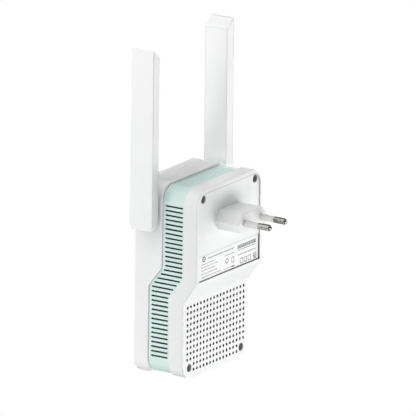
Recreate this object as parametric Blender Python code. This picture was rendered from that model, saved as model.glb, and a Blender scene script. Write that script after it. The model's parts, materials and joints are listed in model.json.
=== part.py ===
"""A plug-in wifi range extender with two swing-up antennas, modelled as an assembly.

Lengths in the constants and builders are millimetres; objects are written in metres, +Z up.
The origin is the middle of the plug's end face, +Y points to the wall that the plug goes into,
and +X is the right-hand side seen from the room. The front of the case faces -Y.
"""

import math

import bmesh
import bpy
from mathutils import Matrix, Vector

MM = 0.001
GAP = 0.3  # clearance between neighbouring pieces
PAST = 1.0  # how far a cutter runs past the face it cuts
RIGHT, LEFT = 1, -1
SIDES = (("right", RIGHT), ("left", LEFT))

# Case outline, seen along Y.
CASE_HALF_WIDTH = 36.8
CASE_TOP = 23.5
CASE_BOTTOM = -100.6
CORNER_RADIUS = 10.5
CORNER_STEPS = 6
WALL = 2.0
BAND_INSET = 1.2  # the middle band lies this far inside the two outer shells
TONGUE = 1.5  # how far the band's tongues reach into each shell
TONGUE_WALL = 1.5

# Surfaces across the case: (height, depth) of the upper kink, then of the lower one.
REAR_FACE = ((-37.2, -17.2), (-51.0, -27.2))
REAR_SEAM = ((-34.7, -27.7), (-47.7, -38.0))
FRONT_SEAM = ((-29.9, -43.9), (-42.2, -53.6))
FRONT_FACE = ((0.0, -64.0), (-1.0, -64.0))

# Recessed panel on the upper rear face, and the deeper place for the rating label.
RIM = 2.3
PANEL_DEPTH = 0.7
PANEL_BOTTOM = -35.6
LABEL_TOP = -19.7
LABEL_DEPTH = 1.4
LABEL_THICKNESS = 0.2
LABEL_SIDE_MARGIN = 0.5
LABEL_TOP_MARGIN = 0.4
LABEL_CORNER = 0.6
REAR_WALL = 2.7

# Vents.
SLOT_PITCH = 2.98
SLOT_WIDTH = 1.0
SIDE_SLOTS = 34
SIDE_SLOT_TOP = 10.8
SLOT_FRONT_MARGIN = 1.7
SLOT_REAR_MARGIN = 1.6
TOP_SLOTS_EACH_SIDE = 8
TOP_GROOVE_DEPTH = 0.6
TOP_GROOVE_WIDTH = 1.5  # the ribs of the top grille stand between these grooves
TOP_LIP = 1.4
VENT_PITCH = 3.755
VENT_COLUMNS = 18
VENT_ROWS = 12
VENT_SHORT_ROWS = 2  # the lowest rows leave room for the screws
VENT_SHORT_BY = 2
VENT_TOP = -54.0
VENT_RADIUS = 0.95

# Case screws, in the four corners.
SCREW_X = 29.5
SCREW_TOP = 17.2
SCREW_BOTTOM = -93.4
HEAD_HOLE_RADIUS = 2.5
HEAD_HOLE_DEPTH = 4.6
HEAD_RADIUS = 2.2
HEAD_LENGTH = 1.8
HEAD_EDGE = (0.3, 0.4)  # rounding of the head's edge: across, along
RECESS_RADII = (0.9, 1.1)  # the driver recess, at its floor and at its mouth
RECESS_DEPTH = 1.0
SHAFT_RADIUS = 1.3
SHAFT_LENGTH = 18.0
SHAFT_POINT = 1.0
PILOT_RADIUS = 1.6
REAR_BOSS_RADIUS = 4.2
REAR_BOSS_LENGTH = 9.0
FRONT_BOSS_RADIUS = 2.9

# Mains plug.
PLUG_HALF_WIDTH = 16.8
PLUG_HALF_HEIGHT = 6.6
PLUG_FLAT_HALF = 11.4
PLUG_EDGE_HALF = 1.2  # the short upright edge at each end of the hexagon
FLANGE = (-20.5, 20.5, -10.0, 10.0)
FLANGE_CORNER = 2.5
FLANGE_THICKNESS = 2.0
PIN_SPREAD = 9.3
PIN_TIP_SPREAD = 8.75
PIN_LENGTH = 19.0
PIN_RADIUS = 2.0
PIN_CORE_RADIUS = 1.4
SLEEVE_LENGTH = 10.0
SLEEVE_RADIUS = 1.95
SLEEVE_SEAT_Y = -3.0  # floor of the hole that the sleeve stands in
SLEEVE_CLEARANCE = 0.15  # round the pin
SLEEVE_TIP_GAP = 0.1
PIN_TAIL = 27.0

# The metal strip from the tail of each pin to the power board.
STRAP_HALF_WIDTH = 1.5
STRAP_HALF_HEIGHT = 2.0
STRAP_THICKNESS = 0.6
STRAP_FOOT = 4.0
STRAP_SHIFT = 0.8

# Antennas.
HINGE_Y = -53.9
HINGE_Z = 3.3
BLADE_INNER_X = 38.6
BLADE_OUTER_X = 46.0
BLADE_FRONT_Y = -62.2
BLADE_REAR_Y = -45.5
BLADE_BOTTOM = -5.0
BLADE_TOP_INNER = 107.3
BLADE_TOP_OUTER = 113.1
BLADE_CORNER = 4.0
BLADE_WALL = 1.5
COLLAR_RADIUS = 5.5
PIVOT_RADIUS = 2.9
PIVOT_BORE = 1.5
PIVOT_END_X = 31.4
CLIP_GROOVE = (32.4, 33.6)
CLIP_GROOVE_RADIUS = 2.2
CLIP_RADIUS = 4.4
CLIP_CLEARANCE = 0.15
CLIP_SIDE_GAP = 0.1
CLIP_OPENING = 50  # degrees, half of the open part of the ring
WASHER_RADIUS = 5.0
WASHER_THICKNESS = 0.7
ELEMENT_HALF_THICKNESS = 0.4
ELEMENT_HALF_WIDTH = 4.5
ELEMENT_BOTTOM = 16.0
ELEMENT_TOP = 98.0
CABLE_RADIUS = 0.55

# Boards and what is on them.
MAIN_BOARD_REAR_Y = -53.2
POWER_BOARD_REAR_Y = -35.0
BOARD_THICKNESS = 1.6
MAIN_BOARD = (-27.0, 27.0, -90.0, -7.0)
POWER_BOARD = (-26.0, 26.0, -30.0, 13.0)
MAIN_POSTS = ((-22.0, -12.0), (22.0, -12.0), (-22.0, -84.0), (22.0, -84.0))
POWER_POSTS = ((-21.0, -25.0), (21.0, -25.0))
POST_RADIUS = 2.4
POST_HOLE_RADIUS = 1.3
BOARD_CORNER = 2.0
BOARD_SCREW = (  # (radius, height above the board) from the head to the point
    (0, 1.4),
    (1.5, 1.4),
    (1.9, 0.8),
    (1.9, 0.0),
    (1.0, 0.0),
    (1.0, -5.0),
    (0, -5.6),
)
CAN_RIM = 0.6
TRANSFORMER_WINDING = (9.0, 8.0, 0.0, 13.0)  # half width, half height, start and end off the board
TRANSFORMER_CORE = (5.5, 10.5, 1.5, 11.5)
LINK_HEADER = (-7.0, 7.0, -16.5, -14.0)
HEAT_SINK_HALF = 14.0
HEAT_SINK_SPAN = (-46.0, -22.0)
HEAT_SINK_BASE = 1.6
HEAT_SINK_FIN = 5.0
HEAT_SINK_FINS = 6
HEAT_SINK_SHARE = 0.4  # a fin's part of the pitch
SWITCH_HALF = 3.0
SWITCH_DEPTH = 2.2
PLUNGER_RADIUS = 1.5
PLUNGER_REACH = 3.0
LED_PLACES = (-4.0, 0.0, 4.0)
LED_HALF_WIDTH = 0.8
LED_HALF_HEIGHT = 0.6
LED_DEPTH = 1.0
COAX_PLUG_X = 18.0
COAX_PLUG_Z = -19.0
COAX_PLUG_RADIUS = 1.4
COAX_PLUG_TOP = 2.0  # above the main board
COAX_PLUG_LENGTH = 1.7

# Network socket in the lower edge.
JACK_HALF_WIDTH = 8.0
JACK_FRONT_Y = -52.9
JACK_REAR_Y = -40.4
JACK_MOUTH_Z = -96.5
JACK_LENGTH = 20.0
PORT = (-5.9, 5.9, -50.3, -43.3)
PORT_DEPTH = 15.0
LATCH_HALF_WIDTH = 3.2
LATCH_REAR_Y = -41.6
PORT_OPENING = (-7.0, 7.0, -51.6, -40.9)

# Button and status light on the front.
BUTTON_Z = -74.0
BUTTON_HALF_WIDTH = 9.0
BUTTON_HALF_HEIGHT = 3.8
BUTTON_PROUD = 0.5
BUTTON_TRAVEL = 0.6
BUTTON_FLANGE = (10.8, 5.4)  # half width and half height
BUTTON_STEM_RADIUS = 1.8
LIGHT_Z = -20.0
LIGHT_HALF_WIDTH = 7.0
LIGHT_HALF_HEIGHT = 1.3
LIGHT_GUIDE = (8.6, 2.8)
LIGHT_GUIDE_LENGTH = 2.5
REACH_IN = 1.0  # how far the button and the window run on behind the front wall

WHITE = ("white_shell", (0.85, 0.86, 0.86), 0.42, 0.0)
MINT = ("mint_shell", (0.56, 0.79, 0.72), 0.45, 0.0)
WHITE_NYLON = ("white_nylon", (0.80, 0.80, 0.79), 0.5, 0.0)
NICKEL = ("nickel_plate", (0.62, 0.60, 0.57), 0.22, 1.0)
STEEL = ("zinc_steel", (0.45, 0.45, 0.46), 0.35, 1.0)
SPRING_STEEL = ("spring_steel", (0.38, 0.38, 0.40), 0.3, 1.0)
COPPER = ("copper_alloy", (0.72, 0.42, 0.25), 0.35, 1.0)
ALUMINIUM = ("bare_aluminium", (0.70, 0.71, 0.73), 0.4, 1.0)
BOARD_GREEN = ("circuit_board", (0.03, 0.20, 0.10), 0.45, 0.0)
BLACK_PLASTIC = ("black_plastic", (0.02, 0.02, 0.022), 0.45, 0.0)
CORE_YELLOW = ("transformer_tape", (0.72, 0.55, 0.08), 0.5, 0.0)
CAN_BLUE = ("capacitor_sleeve", (0.03, 0.06, 0.22), 0.3, 0.0)
CABLE_GREY = ("cable_jacket", (0.12, 0.12, 0.13), 0.5, 0.0)
LABEL_PAPER = ("label_paper", (0.90, 0.90, 0.89), 0.6, 0.0)
DIFFUSER = ("light_diffuser", (0.86, 0.88, 0.88), 0.25, 0.0)

POWER_CANS = (  # name, x, z, radius, length, finish
    ("bulk_capacitor_upper", 15.0, 6.0, 5.0, 14.0, CAN_BLUE),
    ("bulk_capacitor_lower", 15.5, -6.0, 4.0, 12.0, CAN_BLUE),
    ("line_fuse", -18.5, -8.0, 2.6, 8.0, BLACK_PLASTIC),
)
RECTIFIER = (-22.5, -15.5, 2.0, 8.5)
RECTIFIER_DEPTH = 3.0
MAIN_REAR_BOXES = (  # name, extent in X and Z, depth, finish
    ("radio_shield_rear", (-15.0, 15.0, -66.0, -50.0), 2.6, STEEL),
    ("line_transformer", (-6.5, 6.5, -75.0, -68.5), 5.0, BLACK_PLASTIC),
)
FRONT_SHIELD = (-16.0, 16.0, -52.0, -30.0)
FRONT_SHIELD_DEPTH = 2.4


# ---------------------------------------------------------------- scene and materials


def clear_scene():
    for obj in list(bpy.data.objects):
        bpy.data.objects.remove(obj, do_unlink=True)


def material(spec):
    name, colour, roughness, metallic = spec
    found = bpy.data.materials.get(name)
    if found:
        return found
    made = bpy.data.materials.new(name)
    made.use_nodes = True
    shader = made.node_tree.nodes["Principled BSDF"]
    shader.inputs["Base Color"].default_value = (*colour, 1.0)
    shader.inputs["Roughness"].default_value = roughness
    shader.inputs["Metallic"].default_value = metallic
    return made


def add_object(name, bm, spec, smooth_angle=None):
    """Makes an object in metres from a bmesh in millimetres, with its faces pointing out."""
    bmesh.ops.scale(bm, vec=(MM, MM, MM), verts=bm.verts)
    bmesh.ops.recalc_face_normals(bm, faces=bm.faces)
    mesh = bpy.data.meshes.new(name)
    bm.to_mesh(mesh)
    bm.free()
    mesh.materials.append(material(spec))
    if smooth_angle is not None:
        mesh.shade_smooth()
        mesh.set_sharp_from_angle(angle=math.radians(smooth_angle))
    obj = bpy.data.objects.new(name, mesh)
    bpy.context.scene.collection.objects.link(obj)
    return obj


def set_origin(obj, point):
    """Moves the object's origin to a point in millimetres, and leaves its shape where it is."""
    offset = Vector(point) * MM
    obj.data.transform(Matrix.Translation(-offset))
    obj.location = offset


def combine(target, name, bm, operation):
    """Adds a Boolean modifier with the shapes in bm as its hidden second object."""
    helper = add_object(name, bm, WHITE)
    helper.hide_render = True
    helper.display_type = "WIRE"
    modifier = target.modifiers.new(name, "BOOLEAN")
    modifier.operation = operation
    modifier.solver = "EXACT"
    modifier.object = helper


def cut(target, name, bm):
    combine(target, name, bm, "DIFFERENCE")


def join(target, name, bm):
    combine(target, name, bm, "UNION")


# ---------------------------------------------------------------- outlines


def arc(centre, radius, start, end, steps):
    """Points round a circle from one angle to another, in degrees."""
    points = []
    for i in range(steps + 1):
        angle = math.radians(start + (end - start) * i / steps)
        points.append((centre[0] + radius * math.cos(angle), centre[1] + radius * math.sin(angle)))
    return points


def rounded_outline(low_u, high_u, low_v, high_v, radius, steps, levels=()):
    """A rounded rectangle, anticlockwise, with extra points on its upright sides at the levels."""
    rising = sorted(levels)
    points = arc((high_u - radius, low_v + radius), radius, -90, 0, steps)
    points += [(high_u, v) for v in rising]
    points += arc((high_u - radius, high_v - radius), radius, 0, 90, steps)
    points += arc((low_u + radius, high_v - radius), radius, 90, 180, steps)
    points += [(low_u, v) for v in reversed(rising)]
    points += arc((low_u + radius, low_v + radius), radius, 180, 270, steps)
    return points


def rectangle(low_u, high_u, low_v, high_v):
    return [(low_u, low_v), (high_u, low_v), (high_u, high_v), (low_u, high_v)]


def circle(u, v, radius, steps):
    return arc((u, v), radius, 0, 360 - 360 / steps, steps - 1)


def pill(u, v, half_width, half_height):
    """A slot-shaped outline with round ends."""
    return rounded_outline(
        u - half_width, u + half_width, v - half_height, v + half_height, half_height * 0.999, 6
    )


def case_outline(inset, levels=()):
    return rounded_outline(
        -CASE_HALF_WIDTH + inset,
        CASE_HALF_WIDTH - inset,
        CASE_BOTTOM + inset,
        CASE_TOP - inset,
        CORNER_RADIUS - inset,
        CORNER_STEPS,
        levels,
    )


# ---------------------------------------------------------------- solids


def add_prism(bm, outline, low, high, axis="Y"):
    """A closed prism along an axis. The outline is in the other two axes, in X, Y, Z order."""
    place = {
        "X": lambda u, v, w: (w, u, v),
        "Y": lambda u, v, w: (u, w, v),
        "Z": lambda u, v, w: (u, v, w),
    }[axis]
    rings = [[bm.verts.new(place(u, v, w)) for u, v in outline] for w in (low, high)]
    bridge(bm, rings)
    bm.faces.new(rings[0])
    bm.faces.new(rings[1][::-1])


def bridge(bm, rings):
    for near, far in zip(rings, rings[1:]):
        count = len(near)
        for i in range(count):
            j = (i + 1) % count
            bm.faces.new((near[i], far[i], far[j], near[j]))


def add_box(bm, low, high):
    add_prism(bm, rectangle(low[0], high[0], low[2], high[2]), low[1], high[1])


def depth_at(profile, z):
    """Depth of a kinked surface at a height."""
    (upper_z, upper_y), (lower_z, lower_y) = profile
    if z >= upper_z:
        return upper_y
    if z <= lower_z:
        return lower_y
    return lower_y + (upper_y - lower_y) * (z - lower_z) / (upper_z - lower_z)


def moved(profile, depth):
    """The surface parallel to a kinked one, further back by depth."""
    (upper_z, upper_y), (lower_z, lower_y) = profile
    bend = math.atan2(upper_y - lower_y, upper_z - lower_z)
    rise = -depth * math.tan(bend / 2)
    return ((upper_z + rise, upper_y + depth), (lower_z + rise, lower_y + depth))


def kink_levels(*profiles):
    return [z for p in profiles for z, _ in p if p[0][1] != p[1][1]]


def add_kinked_block(bm, inset, rear, front):
    """A block with the case's outline between two kinked surfaces."""
    outline = case_outline(inset, kink_levels(rear, front))
    rings = [[bm.verts.new((x, depth_at(p, z), z)) for x, z in outline] for p in (rear, front)]
    bridge(bm, rings)
    for ring, profile in zip(rings, (rear, front)):
        levels = [CASE_TOP] + kink_levels(profile) + [CASE_BOTTOM]
        for high, low in zip(levels, levels[1:]):
            bm.faces.new([v for v, (_, z) in zip(ring, outline) if low <= z <= high])


def add_turned(bm, profile, steps, matrix=None):
    """A solid turned about Y. The profile is (radius, y) points, from axis to axis or a closed loop."""
    closed = profile[0][0] > 0
    rings = []
    for radius, y in profile:
        if radius == 0:
            rings.append([bm.verts.new((0, y, 0))])
            continue
        rings.append([bm.verts.new((x, y, z)) for x, z in circle(0, 0, radius, steps)])
    pairs = list(zip(rings, rings[1:]))
    if closed:
        pairs.append((rings[-1], rings[0]))
    for near, far in pairs:
        for i in range(steps):
            j = (i + 1) % steps
            corners = [near[i % len(near)], far[i % len(far)], far[j % len(far)], near[j % len(near)]]
            bm.faces.new(list(dict.fromkeys(corners)))
    if matrix is not None:
        bmesh.ops.transform(bm, matrix=matrix, verts=[v for ring in rings for v in ring])


def at(x, y, z):
    return Matrix.Translation((x, y, z))


def along_x(x, side=RIGHT):
    """Places a solid turned about Y on the hinge line, with its +Y end outwards."""
    turn = Matrix.Rotation(math.radians(-90 * side), 4, "Z")
    return at(side * x, HINGE_Y, HINGE_Z) @ turn


def smooth_route(points, count):
    """Evenly spread points on a Catmull-Rom curve through the given ones."""
    route = [Vector(p) for p in points]
    padded = [2 * route[0] - route[1], *route, 2 * route[-1] - route[-2]]
    result = []
    spans = len(route) - 1
    for i in range(count):
        place = min(i * spans / (count - 1), spans - 1e-6)
        k = int(place)
        t = place - k
        a, b, c, d = padded[k : k + 4]
        square = (2 * a - 5 * b + 4 * c - d) * t**2
        cube = (3 * b - a - 3 * c + d) * t**3
        result.append(0.5 * (2 * b + (c - a) * t + square + cube))
    return result


def add_cable(name, points, radius, count):
    """A round cable as a curve with filled caps."""
    curve = bpy.data.curves.new(name, "CURVE")
    curve.dimensions = "3D"
    curve.bevel_depth = radius * MM
    curve.bevel_resolution = 2
    curve.use_fill_caps = True
    spline = curve.splines.new("POLY")
    route = smooth_route(points, count)
    spline.points.add(len(route) - 1)
    for point, place in zip(spline.points, route):
        point.co = (*(place * MM), 1.0)
    curve.materials.append(material(CABLE_GREY))
    obj = bpy.data.objects.new(name, curve)
    bpy.context.scene.collection.objects.link(obj)
    return obj


# ---------------------------------------------------------------- case


def screw_places():
    for z in (SCREW_TOP, SCREW_BOTTOM):
        for side in (RIGHT, LEFT):
            yield side * SCREW_X, z


def screw_face(z):
    """Depth of the face that a case screw's hole starts in."""
    face = depth_at(REAR_FACE, z)
    return face - PANEL_DEPTH if z > PANEL_BOTTOM else face


def rear_boss_end(z):
    return depth_at(REAR_FACE, z) - REAR_BOSS_LENGTH - PANEL_DEPTH


def top_slot_places():
    return [SLOT_PITCH * i for i in range(-TOP_SLOTS_EACH_SIDE, TOP_SLOTS_EACH_SIDE + 1)]


def vent_places():
    for row in range(VENT_ROWS):
        short = VENT_SHORT_BY if row >= VENT_ROWS - VENT_SHORT_ROWS else 0
        for column in range(short, VENT_COLUMNS - short):
            x = (column - (VENT_COLUMNS - 1) / 2) * VENT_PITCH
            yield x, VENT_TOP - row * VENT_PITCH


def plug_outline(grow=0.0):
    """The plug's hexagon, wider by grow all round."""
    wide = PLUG_HALF_WIDTH + grow * 1.3
    tall = PLUG_HALF_HEIGHT + grow
    flat = PLUG_FLAT_HALF + grow * 0.5
    half = [(wide, -PLUG_EDGE_HALF), (wide, PLUG_EDGE_HALF), (flat, tall), (-flat, tall)]
    return half + [(-u, -v) for u, v in half]


def build_rear_shell():
    bm = bmesh.new()
    add_kinked_block(bm, 0.0, REAR_FACE, moved(REAR_SEAM, GAP / 2))
    shell = add_object("rear_shell", bm, WHITE)

    bm = bmesh.new()
    add_kinked_block(bm, WALL, moved(REAR_FACE, -REAR_WALL), moved(REAR_SEAM, -PAST))
    cut(shell, "rear_shell_hollow", bm)

    bm = bmesh.new()
    for x, z in screw_places():
        start = depth_at(REAR_FACE, z) - REAR_WALL + PAST
        add_prism(bm, circle(x, z, REAR_BOSS_RADIUS, 16), rear_boss_end(z), start)
    for x, z in POWER_POSTS:
        start = depth_at(REAR_FACE, z) - REAR_WALL + PAST
        add_prism(bm, circle(x, z, POST_RADIUS, 12), POWER_BOARD_REAR_Y + GAP, start)
    join(shell, "rear_shell_bosses", bm)

    bm = bmesh.new()
    floor = depth_at(REAR_FACE, CASE_TOP)
    recess = case_outline(RIM)
    upper = [(x, max(z, PANEL_BOTTOM)) for x, z in recess if z > PANEL_BOTTOM]
    corners = [(-CASE_HALF_WIDTH + RIM, PANEL_BOTTOM), (CASE_HALF_WIDTH - RIM, PANEL_BOTTOM)]
    add_prism(bm, upper + corners, floor - PANEL_DEPTH, floor + PAST)
    cut(shell, "rear_shell_panel", bm)

    bm = bmesh.new()
    half = CASE_HALF_WIDTH - RIM
    add_prism(bm, rectangle(-half, half, PANEL_BOTTOM, LABEL_TOP), floor - LABEL_DEPTH, floor + PAST)
    cut(shell, "rear_shell_label_place", bm)

    bm = bmesh.new()
    for x, z in screw_places():
        face = screw_face(z)
        profile = [
            (0, face + PAST),
            (HEAD_HOLE_RADIUS, face + PAST),
            (HEAD_HOLE_RADIUS, face - HEAD_HOLE_DEPTH),
            (PILOT_RADIUS, face - HEAD_HOLE_DEPTH),
            (PILOT_RADIUS, rear_boss_end(z) - PAST),
            (0, rear_boss_end(z) - PAST),
        ]
        add_turned(bm, profile, 16, at(x, 0, z))
    for x, z in POWER_POSTS:
        add_prism(bm, circle(x, z, POST_HOLE_RADIUS, 8), POWER_BOARD_REAR_Y - PAST, floor - REAR_WALL - PAST)
    add_prism(bm, plug_outline(GAP), floor - REAR_WALL - PAST, floor + PAST)
    vent_face = depth_at(REAR_FACE, VENT_TOP)
    for x, z in vent_places():
        add_prism(bm, circle(x, z, VENT_RADIUS, 6), vent_face - REAR_WALL - PAST, vent_face + PAST)
    cut(shell, "rear_shell_holes", bm)
    return shell


def add_top_slots(bm, front, rear):
    for x in top_slot_places():
        low = (x - SLOT_WIDTH / 2, front, CASE_TOP - WALL - BAND_INSET - TONGUE_WALL - PAST)
        add_box(bm, low, (x + SLOT_WIDTH / 2, rear, CASE_TOP + PAST))


def build_middle_band():
    band_wall = WALL + GAP + TONGUE_WALL
    rear = moved(REAR_SEAM, -GAP / 2)
    front = moved(FRONT_SEAM, GAP / 2)
    bm = bmesh.new()
    add_kinked_block(bm, BAND_INSET, rear, front)
    band = add_object("middle_band", bm, MINT)

    bm = bmesh.new()
    add_kinked_block(bm, WALL + GAP, moved(REAR_SEAM, TONGUE), moved(FRONT_SEAM, -TONGUE))
    join(band, "middle_band_tongues", bm)

    bm = bmesh.new()
    add_kinked_block(bm, band_wall, moved(REAR_SEAM, TONGUE + PAST), moved(FRONT_SEAM, -TONGUE - PAST))
    cut(band, "middle_band_hollow", bm)

    bm = bmesh.new()
    for x, z in screw_places():
        deep = depth_at(FRONT_SEAM, z) - 2 * TONGUE
        step = rear_boss_end(z) - GAP
        profile = [
            (0, REAR_FACE[0][1]),
            (REAR_BOSS_RADIUS + GAP, REAR_FACE[0][1]),
            (REAR_BOSS_RADIUS + GAP, step),
            (FRONT_BOSS_RADIUS + GAP, step),
            (FRONT_BOSS_RADIUS + GAP, deep),
            (0, deep),
        ]
        add_turned(bm, profile, 16, at(x, 0, z))
    for side in (RIGHT, LEFT):
        for i in range(SIDE_SLOTS):
            z = SIDE_SLOT_TOP - i * SLOT_PITCH
            low_y = depth_at(FRONT_SEAM, z) + SLOT_FRONT_MARGIN
            high_y = depth_at(REAR_SEAM, z) - SLOT_REAR_MARGIN
            inner = CASE_HALF_WIDTH - band_wall - PAST
            outer = CASE_HALF_WIDTH + PAST
            low_x, high_x = sorted((side * inner, side * outer))
            add_box(bm, (low_x, low_y, z - SLOT_WIDTH / 2), (high_x, high_y, z + SLOT_WIDTH / 2))
    add_top_slots(bm, depth_at(FRONT_SEAM, CASE_TOP) + TOP_LIP, depth_at(REAR_SEAM, CASE_TOP) - TOP_LIP)
    low_x, high_x, low_y, high_y = PORT_OPENING
    add_box(bm, (low_x, low_y, CASE_BOTTOM - PAST), (high_x, high_y, CASE_BOTTOM + band_wall + PAST))
    cut(band, "middle_band_holes", bm)
    return band


def build_front_shell():
    bm = bmesh.new()
    add_kinked_block(bm, 0.0, moved(FRONT_SEAM, -GAP / 2), FRONT_FACE)
    shell = add_object("front_shell", bm, WHITE)

    bm = bmesh.new()
    add_kinked_block(bm, WALL, moved(FRONT_SEAM, PAST), moved(FRONT_FACE, WALL))
    cut(shell, "front_shell_hollow", bm)

    front = FRONT_FACE[0][1]
    inside = front + WALL
    bm = bmesh.new()
    for x, z in screw_places():
        add_prism(bm, circle(x, z, FRONT_BOSS_RADIUS, 16), inside - PAST, rear_boss_end(z) - GAP)
    board_front = MAIN_BOARD_REAR_Y - BOARD_THICKNESS
    for x, z in MAIN_POSTS:
        add_prism(bm, circle(x, z, POST_RADIUS, 12), inside - PAST, board_front - GAP)
    join(shell, "front_shell_bosses", bm)

    bm = bmesh.new()
    seam = depth_at(FRONT_SEAM, CASE_TOP)
    half = TOP_GROOVE_WIDTH / 2
    for x in top_slot_places():
        low = (x - half, front - PAST, CASE_TOP - TOP_GROOVE_DEPTH)
        add_box(bm, low, (x + half, seam - TOP_LIP, CASE_TOP + PAST))
    cut(shell, "front_shell_top_grooves", bm)

    bm = bmesh.new()
    for x in top_slot_places():
        low = (x - SLOT_WIDTH / 2, front + WALL + GAP, CASE_TOP - WALL - PAST)
        add_box(bm, low, (x + SLOT_WIDTH / 2, seam - TOP_LIP - GAP, CASE_TOP + PAST))
    for x, z in screw_places():
        add_prism(bm, circle(x, z, PILOT_RADIUS, 10), inside + PAST, rear_boss_end(z) + PAST)
    for x, z in MAIN_POSTS:
        add_prism(bm, circle(x, z, POST_HOLE_RADIUS, 8), inside + PAST, board_front + PAST)
    for side in (RIGHT, LEFT):
        low_x, high_x = sorted((side * (CASE_HALF_WIDTH - WALL - PAST), side * (CASE_HALF_WIDTH + PAST)))
        add_prism(bm, circle(HINGE_Y, HINGE_Z, PIVOT_RADIUS + GAP, 24), low_x, high_x, "X")
    button = pill(0, BUTTON_Z, BUTTON_HALF_WIDTH + GAP, BUTTON_HALF_HEIGHT + GAP)
    add_prism(bm, button, front - PAST, inside + PAST)
    light = pill(0, LIGHT_Z, LIGHT_HALF_WIDTH + GAP, LIGHT_HALF_HEIGHT + GAP)
    add_prism(bm, light, front - PAST, inside + PAST)
    cut(shell, "front_shell_holes", bm)
    return shell


def build_rating_label():
    floor = depth_at(REAR_FACE, CASE_TOP) - LABEL_DEPTH
    half = CASE_HALF_WIDTH - RIM - LABEL_SIDE_MARGIN
    bottom, top = PANEL_BOTTOM + LABEL_SIDE_MARGIN, LABEL_TOP - LABEL_TOP_MARGIN
    outline = rounded_outline(-half, half, bottom, top, LABEL_CORNER, 3)
    bm = bmesh.new()
    add_prism(bm, outline, floor + GAP / 3, floor + GAP / 3 + LABEL_THICKNESS)
    add_object("rating_label", bm, LABEL_PAPER)


def build_case_screws():
    names = ("upper_right", "upper_left", "lower_right", "lower_left")
    for name, (x, z) in zip(names, screw_places()):
        seat = screw_face(z) - HEAD_HOLE_DEPTH + GAP
        top = seat + HEAD_LENGTH
        profile = [
            (0, top - RECESS_DEPTH),
            (RECESS_RADII[0], top - RECESS_DEPTH),
            (RECESS_RADII[1], top),
            (HEAD_RADIUS - HEAD_EDGE[0], top),
            (HEAD_RADIUS, top - HEAD_EDGE[1]),
            (HEAD_RADIUS, seat),
            (SHAFT_RADIUS, seat),
            (SHAFT_RADIUS, seat - SHAFT_LENGTH + SHAFT_POINT),
            (0, seat - SHAFT_LENGTH),
        ]
        bm = bmesh.new()
        add_turned(bm, profile, 12, at(x, 0, z))
        add_object(f"case_screw_{name}", bm, STEEL, 35)


# ---------------------------------------------------------------- plug


def pin_frame(side):
    """Places a solid turned about Y on a pin's axis, which leans in a little towards its tip."""
    lean = math.atan2(PIN_SPREAD - PIN_TIP_SPREAD, PIN_LENGTH)
    return at(side * PIN_SPREAD, 0, 0) @ Matrix.Rotation(side * lean, 4, "Z")


def build_plug_base():
    floor = depth_at(REAR_FACE, CASE_TOP)
    flange_rear = floor - REAR_WALL - GAP
    flange_front = flange_rear - FLANGE_THICKNESS
    bm = bmesh.new()
    add_prism(bm, plug_outline(), flange_front, 0.0)
    base = add_object("plug_base", bm, WHITE)

    bm = bmesh.new()
    add_prism(bm, rounded_outline(*FLANGE, FLANGE_CORNER, 3), flange_front, flange_rear)
    join(base, "plug_base_flange", bm)

    bm = bmesh.new()
    for side in (RIGHT, LEFT):
        profile = [
            (0, PAST),
            (SLEEVE_RADIUS + GAP, PAST),
            (SLEEVE_RADIUS + GAP, SLEEVE_SEAT_Y),
            (PIN_CORE_RADIUS + GAP, SLEEVE_SEAT_Y),
            (PIN_CORE_RADIUS + GAP, flange_front - PAST),
            (0, flange_front - PAST),
        ]
        add_turned(bm, profile, 20, pin_frame(side))
    cut(base, "plug_base_pin_holes", bm)


def build_pins():
    for name, side in SIDES:
        profile = [(0, PIN_LENGTH)]
        for u, v in reversed(arc((0, 0), PIN_RADIUS, 0, 90, 4)[:-1]):
            profile.append((u, PIN_LENGTH - PIN_RADIUS + v))
        profile += [
            (PIN_RADIUS, SLEEVE_LENGTH),
            (PIN_CORE_RADIUS, SLEEVE_LENGTH),
            (PIN_CORE_RADIUS, -PIN_TAIL),
            (0, -PIN_TAIL),
        ]
        bm = bmesh.new()
        add_turned(bm, profile, 20, pin_frame(side))
        add_object(f"plug_pin_{name}", bm, NICKEL, 35)

        bm = bmesh.new()
        hole = PIN_CORE_RADIUS + SLEEVE_CLEARANCE
        end = SLEEVE_LENGTH - SLEEVE_TIP_GAP
        start = SLEEVE_SEAT_Y + GAP
        tube = [(SLEEVE_RADIUS, end), (SLEEVE_RADIUS, start), (hole, start), (hole, end)]
        add_turned(bm, tube, 20, pin_frame(side))
        add_object(f"pin_sleeve_{name}", bm, WHITE_NYLON, 35)


def build_contact_straps():
    """A bent metal strip from the tail of each pin to the power board."""
    top = -PIN_TAIL - GAP
    foot = POWER_BOARD_REAR_Y + GAP
    middle = PIN_SPREAD + STRAP_SHIFT
    near, far = middle - STRAP_HALF_WIDTH, middle + STRAP_HALF_WIDTH
    outline = [
        (near, top),
        (far, top),
        (far, foot + STRAP_THICKNESS),
        (far + STRAP_FOOT, foot + STRAP_THICKNESS),
        (far + STRAP_FOOT, foot),
        (far - STRAP_THICKNESS, foot),
        (far - STRAP_THICKNESS, top - STRAP_THICKNESS),
        (near, top - STRAP_THICKNESS),
    ]
    for name, side in SIDES:
        bm = bmesh.new()
        placed = [(side * x, y) for x, y in outline]
        add_prism(bm, placed, -STRAP_HALF_HEIGHT, STRAP_HALF_HEIGHT, "Z")
        add_object(f"contact_strap_{name}", bm, COPPER)


# ---------------------------------------------------------------- boards


def build_board(name, extent, rear, holes):
    bm = bmesh.new()
    add_prism(bm, rounded_outline(*extent, BOARD_CORNER, 2), rear - BOARD_THICKNESS, rear)
    board = add_object(name, bm, BOARD_GREEN)
    bm = bmesh.new()
    for x, z in holes:
        add_prism(bm, circle(x, z, POST_HOLE_RADIUS, 8), rear - BOARD_THICKNESS - PAST, rear + PAST)
    cut(board, f"{name}_holes", bm)


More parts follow.
